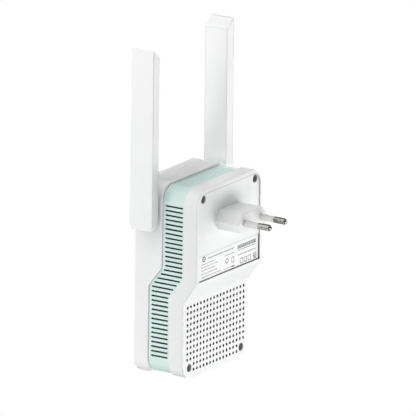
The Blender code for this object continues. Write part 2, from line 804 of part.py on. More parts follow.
def build_board_screw(name, x, z, seat, away):
    """A small screw whose head sits on the board's face at seat; away is +1 when it faces +Y."""
    bm = bmesh.new()
    profile = [(radius, seat + away * (y + GAP)) for radius, y in BOARD_SCREW]
    add_turned(bm, profile, 10, at(x, 0, z))
    add_object(name, bm, STEEL, 35)


def build_boards():
    build_board("main_board", MAIN_BOARD, MAIN_BOARD_REAR_Y, MAIN_POSTS)
    build_board("power_board", POWER_BOARD, POWER_BOARD_REAR_Y, POWER_POSTS)
    for i, (x, z) in enumerate(MAIN_POSTS):
        build_board_screw(f"main_board_screw_{i + 1}", x, z, MAIN_BOARD_REAR_Y, 1)
    for i, (x, z) in enumerate(POWER_POSTS):
        build_board_screw(f"power_board_screw_{i + 1}", x, z, POWER_BOARD_REAR_Y - BOARD_THICKNESS, -1)


def build_block(name, extent, low_y, high_y, spec):
    """A plain block; the extent is its size in X and Z."""
    bm = bmesh.new()
    add_prism(bm, rectangle(*extent), low_y, high_y)
    return add_object(name, bm, spec)


def build_can(name, x, z, radius, start, length, spec):
    """An upright can on the front of the power board."""
    profile = [
        (0, start),
        (radius, start),
        (radius, start - length + CAN_RIM),
        (radius - CAN_RIM, start - length),
        (0, start - length),
    ]
    bm = bmesh.new()
    add_turned(bm, profile, 16, at(x, 0, z))
    add_object(name, bm, spec, 35)


def build_power_parts():
    face = POWER_BOARD_REAR_Y - BOARD_THICKNESS - GAP
    for name, x, z, radius, length, spec in POWER_CANS:
        build_can(name, x, z, radius, face, length, spec)
    build_block("bridge_rectifier", RECTIFIER, face - RECTIFIER_DEPTH, face, BLACK_PLASTIC)

    half_width, half_height, start, end = TRANSFORMER_WINDING
    winding = (-half_width, half_width, -half_height, half_height)
    body = build_block("transformer", winding, face - end, face - start, CORE_YELLOW)
    half_width, half_height, start, end = TRANSFORMER_CORE
    bm = bmesh.new()
    core = rectangle(-half_width, half_width, -half_height, half_height)
    add_prism(bm, core, face - end, face - start)
    join(body, "transformer_core", bm)

    build_block("board_link_header", LINK_HEADER, MAIN_BOARD_REAR_Y + GAP, face, BLACK_PLASTIC)


def build_heat_sink():
    face = MAIN_BOARD_REAR_Y + GAP
    root = face + HEAT_SINK_BASE
    tip = root + HEAT_SINK_FIN
    step = 2 * HEAT_SINK_HALF / (HEAT_SINK_FINS - 1 + HEAT_SINK_SHARE)
    width = step * HEAT_SINK_SHARE
    outline = [(-HEAT_SINK_HALF, face), (HEAT_SINK_HALF, face)]
    for i in range(HEAT_SINK_FINS):
        right = HEAT_SINK_HALF - i * step
        outline += [(right, tip), (right - width, tip)]
        if i < HEAT_SINK_FINS - 1:
            outline += [(right - width, root), (right - step, root)]
    bm = bmesh.new()
    add_prism(bm, outline, *HEAT_SINK_SPAN, "Z")
    add_object("heat_sink", bm, ALUMINIUM)


def build_main_parts():
    rear = MAIN_BOARD_REAR_Y + GAP
    front = MAIN_BOARD_REAR_Y - BOARD_THICKNESS - GAP
    for name, extent, depth, spec in MAIN_REAR_BOXES:
        build_block(name, extent, rear, rear + depth, spec)
    build_block("radio_shield_front", FRONT_SHIELD, front - FRONT_SHIELD_DEPTH, front, STEEL)
    build_heat_sink()

    body = (-SWITCH_HALF, SWITCH_HALF, BUTTON_Z - SWITCH_HALF, BUTTON_Z + SWITCH_HALF)
    switch = build_block("button_switch", body, front - SWITCH_DEPTH, front, BLACK_PLASTIC)
    bm = bmesh.new()
    add_prism(bm, circle(0, BUTTON_Z, PLUNGER_RADIUS, 12), front - PLUNGER_REACH, front - PAST)
    join(switch, "button_switch_plunger", bm)

    for i, x in enumerate(LED_PLACES):
        lamp = (x - LED_HALF_WIDTH, x + LED_HALF_WIDTH, LIGHT_Z - LED_HALF_HEIGHT, LIGHT_Z + LED_HALF_HEIGHT)
        build_block(f"status_led_{i + 1}", lamp, front - LED_DEPTH, front, DIFFUSER)


def build_network_jack():
    body = (-JACK_HALF_WIDTH, JACK_HALF_WIDTH, JACK_MOUTH_Z, JACK_MOUTH_Z + JACK_LENGTH)
    jack = build_block("network_jack", body, JACK_FRONT_Y, JACK_REAR_Y, BLACK_PLASTIC)
    bm = bmesh.new()
    low_x, high_x, low_y, high_y = PORT
    outline = [
        (low_x, low_y),
        (high_x, low_y),
        (high_x, high_y),
        (LATCH_HALF_WIDTH, high_y),
        (LATCH_HALF_WIDTH, LATCH_REAR_Y),
        (-LATCH_HALF_WIDTH, LATCH_REAR_Y),
        (-LATCH_HALF_WIDTH, high_y),
        (low_x, high_y),
    ]
    add_prism(bm, outline, JACK_MOUTH_Z - PAST, JACK_MOUTH_Z + PORT_DEPTH, "Z")
    cut(jack, "network_jack_port", bm)


# ---------------------------------------------------------------- front controls


def build_pair_button():
    front = FRONT_FACE[0][1]
    inside = front + WALL
    switch_front = MAIN_BOARD_REAR_Y - BOARD_THICKNESS - GAP - PLUNGER_REACH
    bm = bmesh.new()
    cap = pill(0, BUTTON_Z, BUTTON_HALF_WIDTH, BUTTON_HALF_HEIGHT)
    add_prism(bm, cap, front - BUTTON_PROUD, inside + REACH_IN)
    button = add_object("pair_button", bm, WHITE)
    bm = bmesh.new()
    wide, tall = BUTTON_FLANGE
    flange = rounded_outline(-wide, wide, BUTTON_Z - tall, BUTTON_Z + tall, 2.0, 3)
    add_prism(bm, flange, inside + GAP, inside + GAP + REACH_IN)
    join(button, "pair_button_flange", bm)
    bm = bmesh.new()
    stem_end = switch_front - GAP - BUTTON_TRAVEL
    add_prism(bm, circle(0, BUTTON_Z, BUTTON_STEM_RADIUS, 12), inside + GAP + REACH_IN / 2, stem_end)
    join(button, "pair_button_stem", bm)
    return button


def build_light_window():
    front = FRONT_FACE[0][1]
    inside = front + WALL
    bm = bmesh.new()
    add_prism(bm, pill(0, LIGHT_Z, LIGHT_HALF_WIDTH, LIGHT_HALF_HEIGHT), front, inside + REACH_IN)
    window = add_object("light_window", bm, DIFFUSER)
    bm = bmesh.new()
    wide, tall = LIGHT_GUIDE
    guide = rounded_outline(-wide, wide, LIGHT_Z - tall, LIGHT_Z + tall, 1.0, 2)
    add_prism(bm, guide, inside + GAP, inside + LIGHT_GUIDE_LENGTH)
    join(window, "light_window_guide", bm)


# ---------------------------------------------------------------- antennas


def blade_outline(x, inset):
    """The blade's outline in YZ at a distance from the case; its top slopes down towards the case."""
    share = (x - BLADE_INNER_X) / (BLADE_OUTER_X - BLADE_INNER_X)
    top = BLADE_TOP_INNER + share * (BLADE_TOP_OUTER - BLADE_TOP_INNER) - inset
    low_y, high_y = BLADE_FRONT_Y + inset, BLADE_REAR_Y - inset
    bottom = BLADE_BOTTOM + inset
    radius = BLADE_CORNER - inset
    points = arc((low_y + radius, bottom + radius), radius, 180, 270, 4)
    points += arc((high_y - radius, bottom + radius), radius, 270, 360, 4)
    return points + [(high_y, top), (low_y, top)]


def add_blade(bm, side, near, far, inset=0.0):
    """A slice of the blade between two distances from the middle of the case."""
    rings = []
    for x in (near, far):
        rings.append([bm.verts.new((side * x, y, z)) for y, z in blade_outline(x, inset)])
    bridge(bm, rings)
    bm.faces.new(rings[0])
    bm.faces.new(rings[1][::-1])


def build_antenna(name, side):
    middle = (BLADE_INNER_X + BLADE_OUTER_X) / 2
    hinge = (side * BLADE_INNER_X, HINGE_Y, HINGE_Z)

    bm = bmesh.new()
    add_blade(bm, side, middle + GAP / 6, BLADE_OUTER_X)
    outer = add_object(f"antenna_outer_cover_{name}", bm, WHITE)
    set_origin(outer, hinge)
    bm = bmesh.new()
    add_blade(bm, side, middle - PAST, BLADE_OUTER_X - BLADE_WALL, BLADE_WALL)
    cut(outer, f"antenna_outer_hollow_{name}", bm)

    bm = bmesh.new()
    add_blade(bm, side, BLADE_INNER_X, middle - GAP / 6)
    inner = add_object(f"antenna_inner_cover_{name}", bm, WHITE)
    set_origin(inner, hinge)
    bm = bmesh.new()
    add_blade(bm, side, BLADE_INNER_X + BLADE_WALL, middle + PAST, BLADE_WALL)
    cut(inner, f"antenna_inner_hollow_{name}", bm)
    bm = bmesh.new()
    floor = BLADE_INNER_X + BLADE_WALL
    clip_near, clip_far = CLIP_GROOVE
    profile = [
        (0, floor),
        (COLLAR_RADIUS, floor),
        (COLLAR_RADIUS, CASE_HALF_WIDTH + GAP),
        (PIVOT_RADIUS, CASE_HALF_WIDTH + GAP),
        (PIVOT_RADIUS, clip_far),
        (CLIP_GROOVE_RADIUS, clip_far),
        (CLIP_GROOVE_RADIUS, clip_near),
        (PIVOT_RADIUS, clip_near),
        (PIVOT_RADIUS, PIVOT_END_X),
        (0, PIVOT_END_X),
    ]
    add_turned(bm, profile, 24, along_x(0, side))
    join(inner, f"antenna_pivot_{name}", bm)
    bm = bmesh.new()
    bore_start, bore_end = floor + PAST, PIVOT_END_X - PAST
    bore = [(0, bore_start), (PIVOT_BORE, bore_start), (PIVOT_BORE, bore_end), (0, bore_end)]
    add_turned(bm, bore, 12, along_x(0, side))
    cut(inner, f"antenna_bore_{name}", bm)

    build_pivot_clip(name, side, hinge)
    build_friction_washer(name, side)

    bm = bmesh.new()
    strip = rectangle(
        HINGE_Y - ELEMENT_HALF_WIDTH, HINGE_Y + ELEMENT_HALF_WIDTH, ELEMENT_BOTTOM, ELEMENT_TOP
    )
    centre = side * middle
    add_prism(bm, strip, centre - ELEMENT_HALF_THICKNESS, centre + ELEMENT_HALF_THICKNESS, "X")
    element = add_object(f"antenna_element_{name}", bm, BOARD_GREEN)
    set_origin(element, hinge)

    route = [
        (side * (middle + 0.2), HINGE_Y, ELEMENT_BOTTOM - 0.7),
        (side * (middle + 0.3), HINGE_Y, 9.0),
        (side * (middle - 0.9), HINGE_Y, HINGE_Z + 0.6),
        (side * (BLADE_INNER_X - 1.0), HINGE_Y, HINGE_Z),
        (side * (PIVOT_END_X + 0.2), HINGE_Y, HINGE_Z),
    ]
    add_cable(f"antenna_cable_{name}", route, CABLE_RADIUS, 12)


def build_pivot_clip(name, side, hinge):
    """An open ring in the pivot's groove, which holds the antenna in the case."""
    centre = (HINGE_Y, HINGE_Z)
    outline = arc(centre, CLIP_RADIUS, CLIP_OPENING, 360 - CLIP_OPENING, 14)
    inner = CLIP_GROOVE_RADIUS + CLIP_CLEARANCE
    outline += reversed(arc(centre, inner, CLIP_OPENING, 360 - CLIP_OPENING, 14))
    bm = bmesh.new()
    near, far = CLIP_GROOVE[0] + CLIP_SIDE_GAP, CLIP_GROOVE[1] - CLIP_SIDE_GAP
    low_x, high_x = sorted((side * near, side * far))
    add_prism(bm, outline, low_x, high_x, "X")
    clip = add_object(f"pivot_clip_{name}", bm, SPRING_STEEL)
    set_origin(clip, hinge)


def build_friction_washer(name, side):
    far = CASE_HALF_WIDTH - WALL - GAP / 2
    near = far - WASHER_THICKNESS
    hole = PIVOT_RADIUS + GAP
    tube = [(WASHER_RADIUS, far), (WASHER_RADIUS, near), (hole, near), (hole, far)]
    bm = bmesh.new()
    add_turned(bm, tube, 24, along_x(0, side))
    add_object(f"friction_washer_{name}", bm, WHITE_NYLON, 35)


def build_case_coax(name, side):
    """The lead from the main board's connector to the mouth of the antenna's hollow pivot."""
    board = MAIN_BOARD_REAR_Y
    top = board + COAX_PLUG_TOP
    plug_x = side * COAX_PLUG_X
    build_can(f"coax_plug_{name}", plug_x, COAX_PLUG_Z, COAX_PLUG_RADIUS, top, COAX_PLUG_LENGTH, NICKEL)
    route = [
        (plug_x, top + 1.0, COAX_PLUG_Z + 0.4),
        (side * 19.0, board + 3.6, -15.0),
        (side * 22.5, board + 4.0, -6.0),
        (side * 26.0, board + 2.0, HINGE_Z - 1.0),
        (side * (PIVOT_END_X - 1.6), HINGE_Y, HINGE_Z),
        (side * (PIVOT_END_X - 0.4), HINGE_Y, HINGE_Z),
    ]
    add_cable(f"coax_lead_{name}", route, CABLE_RADIUS, 16)


def main():
    clear_scene()
    build_rear_shell()
    build_middle_band()
    build_front_shell()
    build_rating_label()
    build_case_screws()
    build_plug_base()
    build_pins()
    build_contact_straps()
    build_boards()
    build_power_parts()
    build_main_parts()
    build_network_jack()
    build_pair_button()
    build_light_window()
    for name, side in SIDES:
        build_antenna(name, side)
        build_case_coax(name, side)


main()
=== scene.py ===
"""Looks of the plug-in wifi range extender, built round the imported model. Metres, +Z up.

The plug's end face is at the origin and +Y points to the wall, so the camera stands behind
the case, on its right-hand side.
"""

import json
import math
import random

import bmesh
import bpy
from mathutils import Matrix, Vector


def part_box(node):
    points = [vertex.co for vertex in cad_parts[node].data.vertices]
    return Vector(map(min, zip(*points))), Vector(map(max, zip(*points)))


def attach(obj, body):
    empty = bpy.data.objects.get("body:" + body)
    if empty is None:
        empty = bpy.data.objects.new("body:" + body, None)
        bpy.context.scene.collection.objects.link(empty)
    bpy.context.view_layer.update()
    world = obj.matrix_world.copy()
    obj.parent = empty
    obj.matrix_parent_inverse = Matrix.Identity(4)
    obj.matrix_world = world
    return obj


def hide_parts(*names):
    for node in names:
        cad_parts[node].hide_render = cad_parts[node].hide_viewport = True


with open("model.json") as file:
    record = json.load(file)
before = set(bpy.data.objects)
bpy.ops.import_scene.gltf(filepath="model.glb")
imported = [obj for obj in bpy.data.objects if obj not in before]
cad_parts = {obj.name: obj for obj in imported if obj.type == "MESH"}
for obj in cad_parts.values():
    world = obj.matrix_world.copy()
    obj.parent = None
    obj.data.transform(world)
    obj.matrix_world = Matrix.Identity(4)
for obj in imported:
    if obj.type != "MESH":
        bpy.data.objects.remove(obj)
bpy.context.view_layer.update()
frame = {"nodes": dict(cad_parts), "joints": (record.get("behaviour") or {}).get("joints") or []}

MM = 0.001
PAST, FINE_PAST = 1.0 * MM, 0.5 * MM  # how far outside a surface the cuts into it start
RIGHT, LEFT = 1, -1
SIDES = (("right", RIGHT), ("left", LEFT))
LIFT = 0.00002  # printed ink stands this far above the label


# ---- sizes, from the frame and named


def low(node):
    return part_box(node)[0]


def high(node):
    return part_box(node)[1]


CASE_HALF = high("rear_shell").x
CASE_TOP = high("rear_shell").z
CASE_BOTTOM = low("rear_shell").z
CORNER = 10.5 * MM
REAR_Y = high("rear_shell").y
FRONT_Y = low("front_shell").y
BAND_INSET = CASE_HALF - high("middle_band").x
WALL = 2.0 * MM

# Surfaces across the case: (height, depth) of the upper kink, then of the lower one, or one pair
# where the surface is flat.
REAR_FACE = ((-37.2 * MM, REAR_Y), (-51.0 * MM, REAR_Y - 10.0 * MM))
REAR_SEAM = ((-34.7 * MM, -27.7 * MM), (-47.7 * MM, -38.0 * MM))
FRONT_SEAM = ((-29.9 * MM, -43.9 * MM), (-42.2 * MM, -53.6 * MM))
FRONT_FACE = ((0.0, FRONT_Y),)
KINK_SOFT = 1.6 * MM
REAR_EDGE = 0.75 * MM
FRONT_EDGE = 0.7 * MM
LIP_EDGE = 0.55 * MM  # rounding of the front shell's edge at the seam
PLUG_EDGE = 0.8 * MM
BLADE_EDGE = 0.4 * MM
SEAM_GAP = 0.06 * MM
HOLLOW_PAST = 3.0 * MM  # how far a shell's hollow is cut past its open edge
CORNER_STEPS = 14
EDGE_STEPS = 5
SLOT_STEPS = 5

RIM = 2.3 * MM
PANEL_DEPTH = 0.7 * MM
PANEL_BOTTOM = -35.6 * MM
LABEL_TOP = -19.7 * MM
LABEL_DEPTH = 1.4 * MM
BACK_WALL = 2.7 * MM

SLOT_PITCH = 2.98 * MM
SLOT_WIDTH = 1.0 * MM
SIDE_SLOTS = 34
SIDE_SLOT_TOP = 10.8 * MM
SLOT_FRONT_MARGIN = 1.7 * MM
SLOT_REAR_MARGIN = 1.6 * MM
TOP_SLOTS_EACH_SIDE = 8
BAND_TOP_RECESS = 0.25 * MM
BAND_TOP_RECESS_HALF = 25.5 * MM
TOP_LIP = 1.4 * MM

VENT_PITCH = 3.755 * MM
VENT_COLUMNS = 18
VENT_ROWS = 12
VENT_SHORT_ROWS = 2
VENT_SHORT_BY = 2
VENT_TOP = -54.0 * MM
VENT_RADIUS = 0.95 * MM

SCREWS = {
    f"case_screw_{row}_{name}": (side * 29.5 * MM, z)
    for row, z in (("upper", 17.2 * MM), ("lower", -93.4 * MM))
    for name, side in SIDES
}
HEAD_HOLE_RADIUS = 2.5 * MM
HEAD_HOLE_DEPTH = 4.6 * MM
# Head of a case screw in millimetres: (radius, distance from its top).
SCREW_HEAD = ((0, 0), (1.6, 0), (2.0, 0.25), (2.2, 0.8), (2.2, 1.8), (1.3, 1.8))

PIN_LENGTH = 19.0 * MM
PIN_SPREAD = 9.3 * MM
PIN_TIP_SPREAD = 8.75 * MM
PIN_CORE = 1.4 * MM
SLEEVE_END = 10.0 * MM

_, HINGE_Y, HINGE_Z = next(j for j in frame["joints"] if j["name"] == "antenna_right_hinge")["pos_m"]

BLADE_INNER_X = 38.6 * MM
_, BLADE_FRONT_Y, BLADE_BOTTOM = low("antenna_outer_cover_right")
BLADE_OUTER_X, BLADE_REAR_Y, BLADE_TOP_OUTER = high("antenna_outer_cover_right")
BLADE_TOP_INNER = 107.3 * MM
BLADE_CORNER = 4.0 * MM
# The hollow pivot in millimetres: (radius, distance from the middle of the case).
PIVOT_DISC = ((0, 39.4), (5.5, 39.4), (5.5, 37.3), (5.3, 37.1), (2.9, 37.1))
PIVOT_TUBE = ((2.9, 33.6), (2.2, 33.6), (2.2, 32.4), (2.9, 32.4), (2.9, 31.6), (2.7, 31.4), (1.5, 31.4))
PIVOT_HOLE_END = ((1.5, 34.0), (0, 34.0))

FRONT_FITTINGS = {
    # node: (height of its middle, half width, half height, gap round it)
    "pair_button": (-74.0 * MM, 9.0 * MM, 3.8 * MM, 0.2 * MM),
    "light_window": (-20.0 * MM, 7.0 * MM, 1.3 * MM, 0.05 * MM),
}

SOCKET_HALF = 7.0 * MM
SOCKET_FRONT = -51.6 * MM
SOCKET_REAR = -40.9 * MM
SOCKET_WALL = -50.3 * MM
CONTACTS = 8
CONTACT_PITCH = 1.02 * MM
CONTACT_WIDTH = 0.36 * MM
CONTACT_THICKNESS = 0.24 * MM
CONTACT_EDGE = 0.06 * MM
# A contact's course in millimetres: (distance from the wall, height above the socket's mouth).
CONTACT_PATH = ((0.0, 2.0), (0.55, 3.2), (0.95, 7.5), (1.2, 11.4), (0.9, 12.6), (0.0, 13.2))

# The label's print in millimetres. Rows of dashes: start, end, height of the middle, thickness.
TEXT_ROWS = (
    (23.0, -7.2, -22.3, 0.8),
    (30.9, 16.2, -25.2, 0.5),
    (30.9, 11.5, -27.1, 0.5),
    (30.9, 14.6, -29.1, 0.5),
    (30.9, 12.7, -31.3, 0.5),
    (30.9, 8.0, -33.4, 0.5),
    (3.8, -7.2, -25.2, 0.5),
    (5.2, -3.0, -33.8, 0.4),
    (-10.9, -31.0, -25.2, 0.6),
    (-10.9, -31.0, -28.3, 0.75),
)
# Strips: start, end, lower and upper edge.
STRIPES = (-10.7, -31.2, -24.3, -21.9)
SHORT_STRIP = (-7.1, -3.6, -34.4, -33.5)
# Frames: middle (x, z), half width, half height.
FRAMES = (
    (-5.2, -29.7, 1.4, 1.9),
    (-15.2, -32.6, 1.6, 1.7),
    (-19.6, -32.6, 1.6, 1.7),
    (-24.0, -32.6, 1.6, 1.7),
)
FRAME_LINE = 0.42
# Rings: middle (x, z), radius, radius of the hole.
RINGS = ((1.4, -29.0, 1.7, 1.1), (27.8, -21.9, 1.9, 1.1), (27.8, -21.9, 0.6, 0.0))
# Shortest and longest dash, stripe and gap.
DASH, DASH_GAP = (0.4, 1.5), (0.3, 0.65)
STRIPE, STRIPE_GAP = (0.3, 0.8), (0.12, 0.38)
GRID_RIGHT, GRID_BASE = -28.3, -34.4
GRID_CELLS = 6
GRID_CELL = 0.62
GRID_SHARE = 0.6  # share of the cells that are printed

# Camera: direction from the object, the point it looks at in its own right and up, and its width.
VIEW_AZIMUTH = 122.907
VIEW_ELEVATION = 15.938
VIEW_ROLL = 0.61
VIEW_RIGHT = -28.23 * MM
VIEW_UP = 7.62 * MM
VIEW_WIDTH = 259.2 * MM
VIEW_DISTANCE = 1.2

SURROUND = 0.19  # strength of the even light from all round
LIGHT_DISTANCE = 0.6
LIGHT_POWER = 3.0
LIGHT_AIM = Vector((0, -40 * MM, -20 * MM))
LIGHTS = {
    # name: (azimuth, elevation, width, strength)
    "front_level": (0, 0, 0.45, 0.38),
    "front_high": (20, 45, 0.45, 0.41),
    "side_level": (60, 10, 0.20, 0.16),
    "side_high": (80, 45, 0.45, 0.38),
    "side_low": (80, -45, 0.45, 0.60),
    "top_soft": (120, 65, 0.30, 0.16),
    "wall_high": (185, 48, 0.30, 0.07),
    "wall_low_right": (160, -22, 0.25, 0.23),
    "wall_low": (190, -22, 0.25, 0.36),
    "wall_low_left": (220, -22, 0.25, 0.22),
    "wall_under": (235, -40, 0.15, 0.17),
    "far_level": (255, 0, 0.15, 0.43),
    "far_high": (280, 22, 0.25, 0.38),
}

FLOOR_Z = -0.26
FLOOR_REACH = 2.0  # radius of the flat part, in metres
FLOOR_BEND = 1.0
FLOOR_HUB = 0.01  # radius of the face that closes its middle
BACKDROP_TOP = 3.5


# ---- outlines


def arc(centre, radius, start, end, steps):
    """Points along an arc, from one angle to another in degrees."""
    angles = [math.radians(start + (end - start) * i / steps) for i in range(steps + 1)]
    return [(centre[0] + radius * math.cos(a), centre[1] + radius * math.sin(a)) for a in angles]


def circle(u, v, radius, steps):
    return arc((u, v), radius, 0, 360 - 360 / steps, steps - 1)


def rounded_outline(low_u, high_u, low_v, high_v, radius, steps, levels=()):
    """A rounded rectangle, anticlockwise, with extra points on its upright sides at the levels."""
    rising = sorted(levels)
    points = arc((high_u - radius, low_v + radius), radius, -90, 0, steps)
    points += [(high_u, v) for v in rising]
    points += arc((high_u - radius, high_v - radius), radius, 0, 90, steps)
    points += arc((low_u + radius, high_v - radius), radius, 90, 180, steps)
    points += [(low_u, v) for v in reversed(rising)]
    points += arc((low_u + radius, low_v + radius), radius, 180, 270, steps)
    return points


def pill(u, v, half_width, half_height, steps):
    """A slot's outline. Its ends keep a sliver of flat, so that no two points meet."""
    radius = min(half_width, half_height) * 0.999
    return rounded_outline(u - half_width, u + half_width, v - half_height, v + half_height, radius, steps)


def case_outline(inset, levels):
    half, base, top = CASE_HALF - inset, CASE_BOTTOM + inset, CASE_TOP - inset
    return rounded_outline(-half, half, base, top, CORNER - inset, CORNER_STEPS, levels)


def trough_outline(x, half_floor, half_mouth, floor, top):
    """Section of a trough: sloping walls up to the surface, then upright ones past it."""
    rising = [(half_floor, floor), (half_mouth, top), (half_mouth, top + PAST)]
    return [(x + half, z) for half, z in rising] + [(x - half, z) for half, z in reversed(rising)]


def rounded_polygon(corners, radii, steps):
    """The polygon with each corner turned into an arc."""
    points = []
    count = len(corners)
    for i in range(count):
        radius = radii[i % len(radii)]
        before, corner, after = (Vector(corners[(i + k) % count]) for k in (-1, 0, 1))
        into = (before - corner).normalized()
        out = (after - corner).normalized()
        half = into.angle(out) / 2
        reach = radius / math.tan(half)
        middle = corner + (into + out).normalized() * (radius / math.sin(half))
        start = corner + into * reach - middle
        end = corner + out * reach - middle
        turn = start.angle_signed(end)
        for k in range(steps + 1):
            points.append(tuple(middle + Matrix.Rotation(-turn * k / steps, 2) @ start))
    return points


# ---- solids


def shape(add, *arguments, **named):
    """A new bmesh, filled by one of the add functions."""
    bm = bmesh.new()
    add(bm, *arguments, **named)
    return bm


def new_object(name, bm, mat=None):
    bmesh.ops.recalc_face_normals(bm, faces=bm.faces)
    mesh = bpy.data.meshes.new(name)
    bm.to_mesh(mesh)
    bm.free()
    if mat:
        mesh.materials.append(mat)
    obj = bpy.data.objects.new(name, mesh)
    bpy.context.scene.collection.objects.link(obj)
    return obj


def bake_modifiers(obj):
    bpy.context.view_layer.update()
    graph = bpy.context.evaluated_depsgraph_get()
    graph.update()
    mesh = bpy.data.meshes.new_from_object(obj.evaluated_get(graph))
    old = obj.data
    while None in mesh.materials[:]:
        mesh.materials.pop(index=mesh.materials[:].index(None))
    obj.modifiers.clear()
    obj.data = mesh
    bpy.data.meshes.remove(old)


def combine(target, bm, operation="DIFFERENCE", finish=None):
    """Applies a Boolean with the shapes in bm. Faces of index 1 in bm take the given finish: painted shade
    on the walls of the cut, and painted highlight at the band recess's ends.
    """
    helper = new_object("helper", bm)
    if finish:
        helper.data.materials.append(None)
        helper.data.materials.append(finish)
    modifier = target.modifiers.new("combine", "BOOLEAN")
    modifier.operation = operation
    modifier.solver = "MANIFOLD"
    modifier.material_mode = "TRANSFER"
    modifier.object = helper
    bake_modifiers(target)
    mesh = helper.data
    bpy.data.objects.remove(helper)
    bpy.data.meshes.remove(mesh)


def round_edges(obj, width, segments):
    modifier = obj.modifiers.new("round", "BEVEL")
    modifier.width = width
    modifier.segments = segments
    modifier.limit_method = "ANGLE"
    modifier.angle_limit = math.radians(25)
    bake_modifiers(obj)


def finish_surface(obj, angle=32):
    """Smooth shading that keeps flat faces flat and edges above the angle sharp."""
    mesh = obj.data
    mesh.shade_smooth()
    mesh.set_sharp_from_angle(angle=math.radians(angle))
    modifier = obj.modifiers.new("weighted", "WEIGHTED_NORMAL")
    modifier.keep_sharp = True
    modifier.weight = 80
    bake_modifiers(obj)


def bridge(bm, rings, finishes=()):
    """Side walls between rings. finishes gives each wall's material index."""
    for band, (near, far) in enumerate(zip(rings, rings[1:])):
        count = len(near)
        for i in range(count):
            j = (i + 1) % count
            face = bm.faces.new((near[i], far[i], far[j], near[j]))
            face.material_index = finishes[band] if finishes else 0


def add_groove(bm, rings):
    """A closed loop of walls through the rings, all of index 1."""
    bridge(bm, rings + rings[:1], [1] * len(rings))


def place(axis, level, u, v):
    """The point (u, v) of a flat outline at a level along the axis."""
    return {"X": (level, u, v), "Y": (u, level, v), "Z": (u, v, level)}[axis]


def add_loft(bm, outlines, axis, levels, finishes=()):
    """A closed solid through flat outlines of equal length, each at its level along the axis."""
    rings = []
    for outline, level in zip(outlines, levels):
        rings.append([bm.verts.new(place(axis, level, u, v)) for u, v in outline])
    bridge(bm, rings, finishes)
    bm.faces.new(rings[0])
    bm.faces.new(rings[-1][::-1])


def add_prism(bm, outline, start, end, axis="Y"):
    add_loft(bm, [outline, outline], axis, [start, end])


def add_box(bm, lowest, highest):
    (x0, y0, z0), (x1, y1, z1) = lowest, highest
    add_prism(bm, [(x0, z0), (x1, z0), (x1, z1), (x0, z1)], y0, y1)


def add_turned(bm, profile, steps, matrix, finishes=()):
    """A solid turned about Y from (radius, y) points, from axis to axis or a closed loop, then moved."""
    rings = []
    for radius, y in profile:
        if radius == 0:
            rings.append([bm.verts.new((0, y, 0))])
            continue
        rings.append([bm.verts.new((x, y, z)) for x, z in circle(0, 0, radius, steps)])
    pairs = list(zip(rings, rings[1:]))
    if profile[0][0] > 0:
        pairs.append((rings[-1], rings[0]))
    for band, (near, far) in enumerate(pairs):
        for i in range(steps):
            j = (i + 1) % steps
            corners = [near[i % len(near)], far[i % len(far)], far[j % len(far)], near[j % len(near)]]
            face = bm.faces.new(list(dict.fromkeys(corners)))
            face.material_index = finishes[band] if finishes else 0
    bmesh.ops.transform(bm, matrix=matrix, verts=[v for ring in rings for v in ring])


def at(x, y, z):
    return Matrix.Translation((x, y, z))


def quarter(radius, steps):
    """(inset, drop) pairs of a rounded edge, from the side wall to the face."""
    angles = [math.pi / 2 * i / steps for i in range(steps + 1)]
    return [(radius * (1 - math.cos(a)), radius * (1 - math.sin(a))) for a in angles]


def eased_mouth(radius, ease, face, past):
    """The first points of a turned cut: from outside the face, through an eased edge."""
    wide, top = radius + ease, face + past
    return [(0, top), (wide + past, top), (wide, face), (radius, face - ease)]


# ---- kinked case surfaces


def depth_at(profile, z):
    """Depth of a surface at a height: flat with one point, kinked with two, and its bends softened."""
    if len(profile) == 1:
        return profile[0][1]
    (upper_z, upper_y), (lower_z, lower_y) = profile
    slope = (upper_y - lower_y) / (upper_z - lower_z)

    def ramp(t):
        if t <= -KINK_SOFT:
            return 0.0
        if t >= KINK_SOFT:
            return t
        return (t + KINK_SOFT) ** 2 / (4 * KINK_SOFT)

    return lower_y + slope * (ramp(z - lower_z) - ramp(z - upper_z))


def moved(profile, depth):
    """A kinked surface moved along Y. Its slope moves as far as its flats, measured square to it."""
    (upper_z, upper_y), (lower_z, lower_y) = profile
    bend = math.atan2(upper_y - lower_y, upper_z - lower_z)
    rise = -depth * math.tan(bend / 2)
    return ((upper_z + rise, upper_y + depth), (lower_z + rise, lower_y + depth))


def bend_levels(profiles):
    """Heights at which upright sides need points, to follow the soft bends."""
    return [z + KINK_SOFT * k / 4 for profile in profiles for z, _ in profile for k in range(-4, 5)]


def add_case_rings(bm, rings, profiles):
    """Vertices round the case's outline. Each ring is (inset, surface, distance in front of it)."""
    levels = bend_levels(profiles)
    made = []
    for inset, profile, ahead in rings:
        outline = case_outline(inset, levels)
        made.append([bm.verts.new((x, depth_at(profile, z) - ahead, z)) for x, z in outline])
    return made


def add_case_block(bm, rings, profiles, finishes=()):
    """A solid with the case's outline, through rings as add_case_rings takes them."""
    made = add_case_rings(bm, rings, profiles)
    bridge(bm, made, finishes)
    for ring in (made[0], made[-1]):
        count = len(ring)
        right = ring[: count // 2]
        left = ring[count // 2 :][::-1]
        for a, b, c, d in zip(right, right[1:], left[1:], left):
            bm.faces.new((a, b, c, d))


def add_screw_posts(bm, start, end, radius, steps):
    """A round post at each case screw. start and end are (surface, distance behind it)."""
    for x, z in SCREWS.values():
        ends = [depth_at(profile, z) + behind for profile, behind in (start, end)]
        add_prism(bm, circle(x, z, radius, steps), *ends)


def top_slot_places():
    return [SLOT_PITCH * i for i in range(-TOP_SLOTS_EACH_SIDE, TOP_SLOTS_EACH_SIDE + 1)]


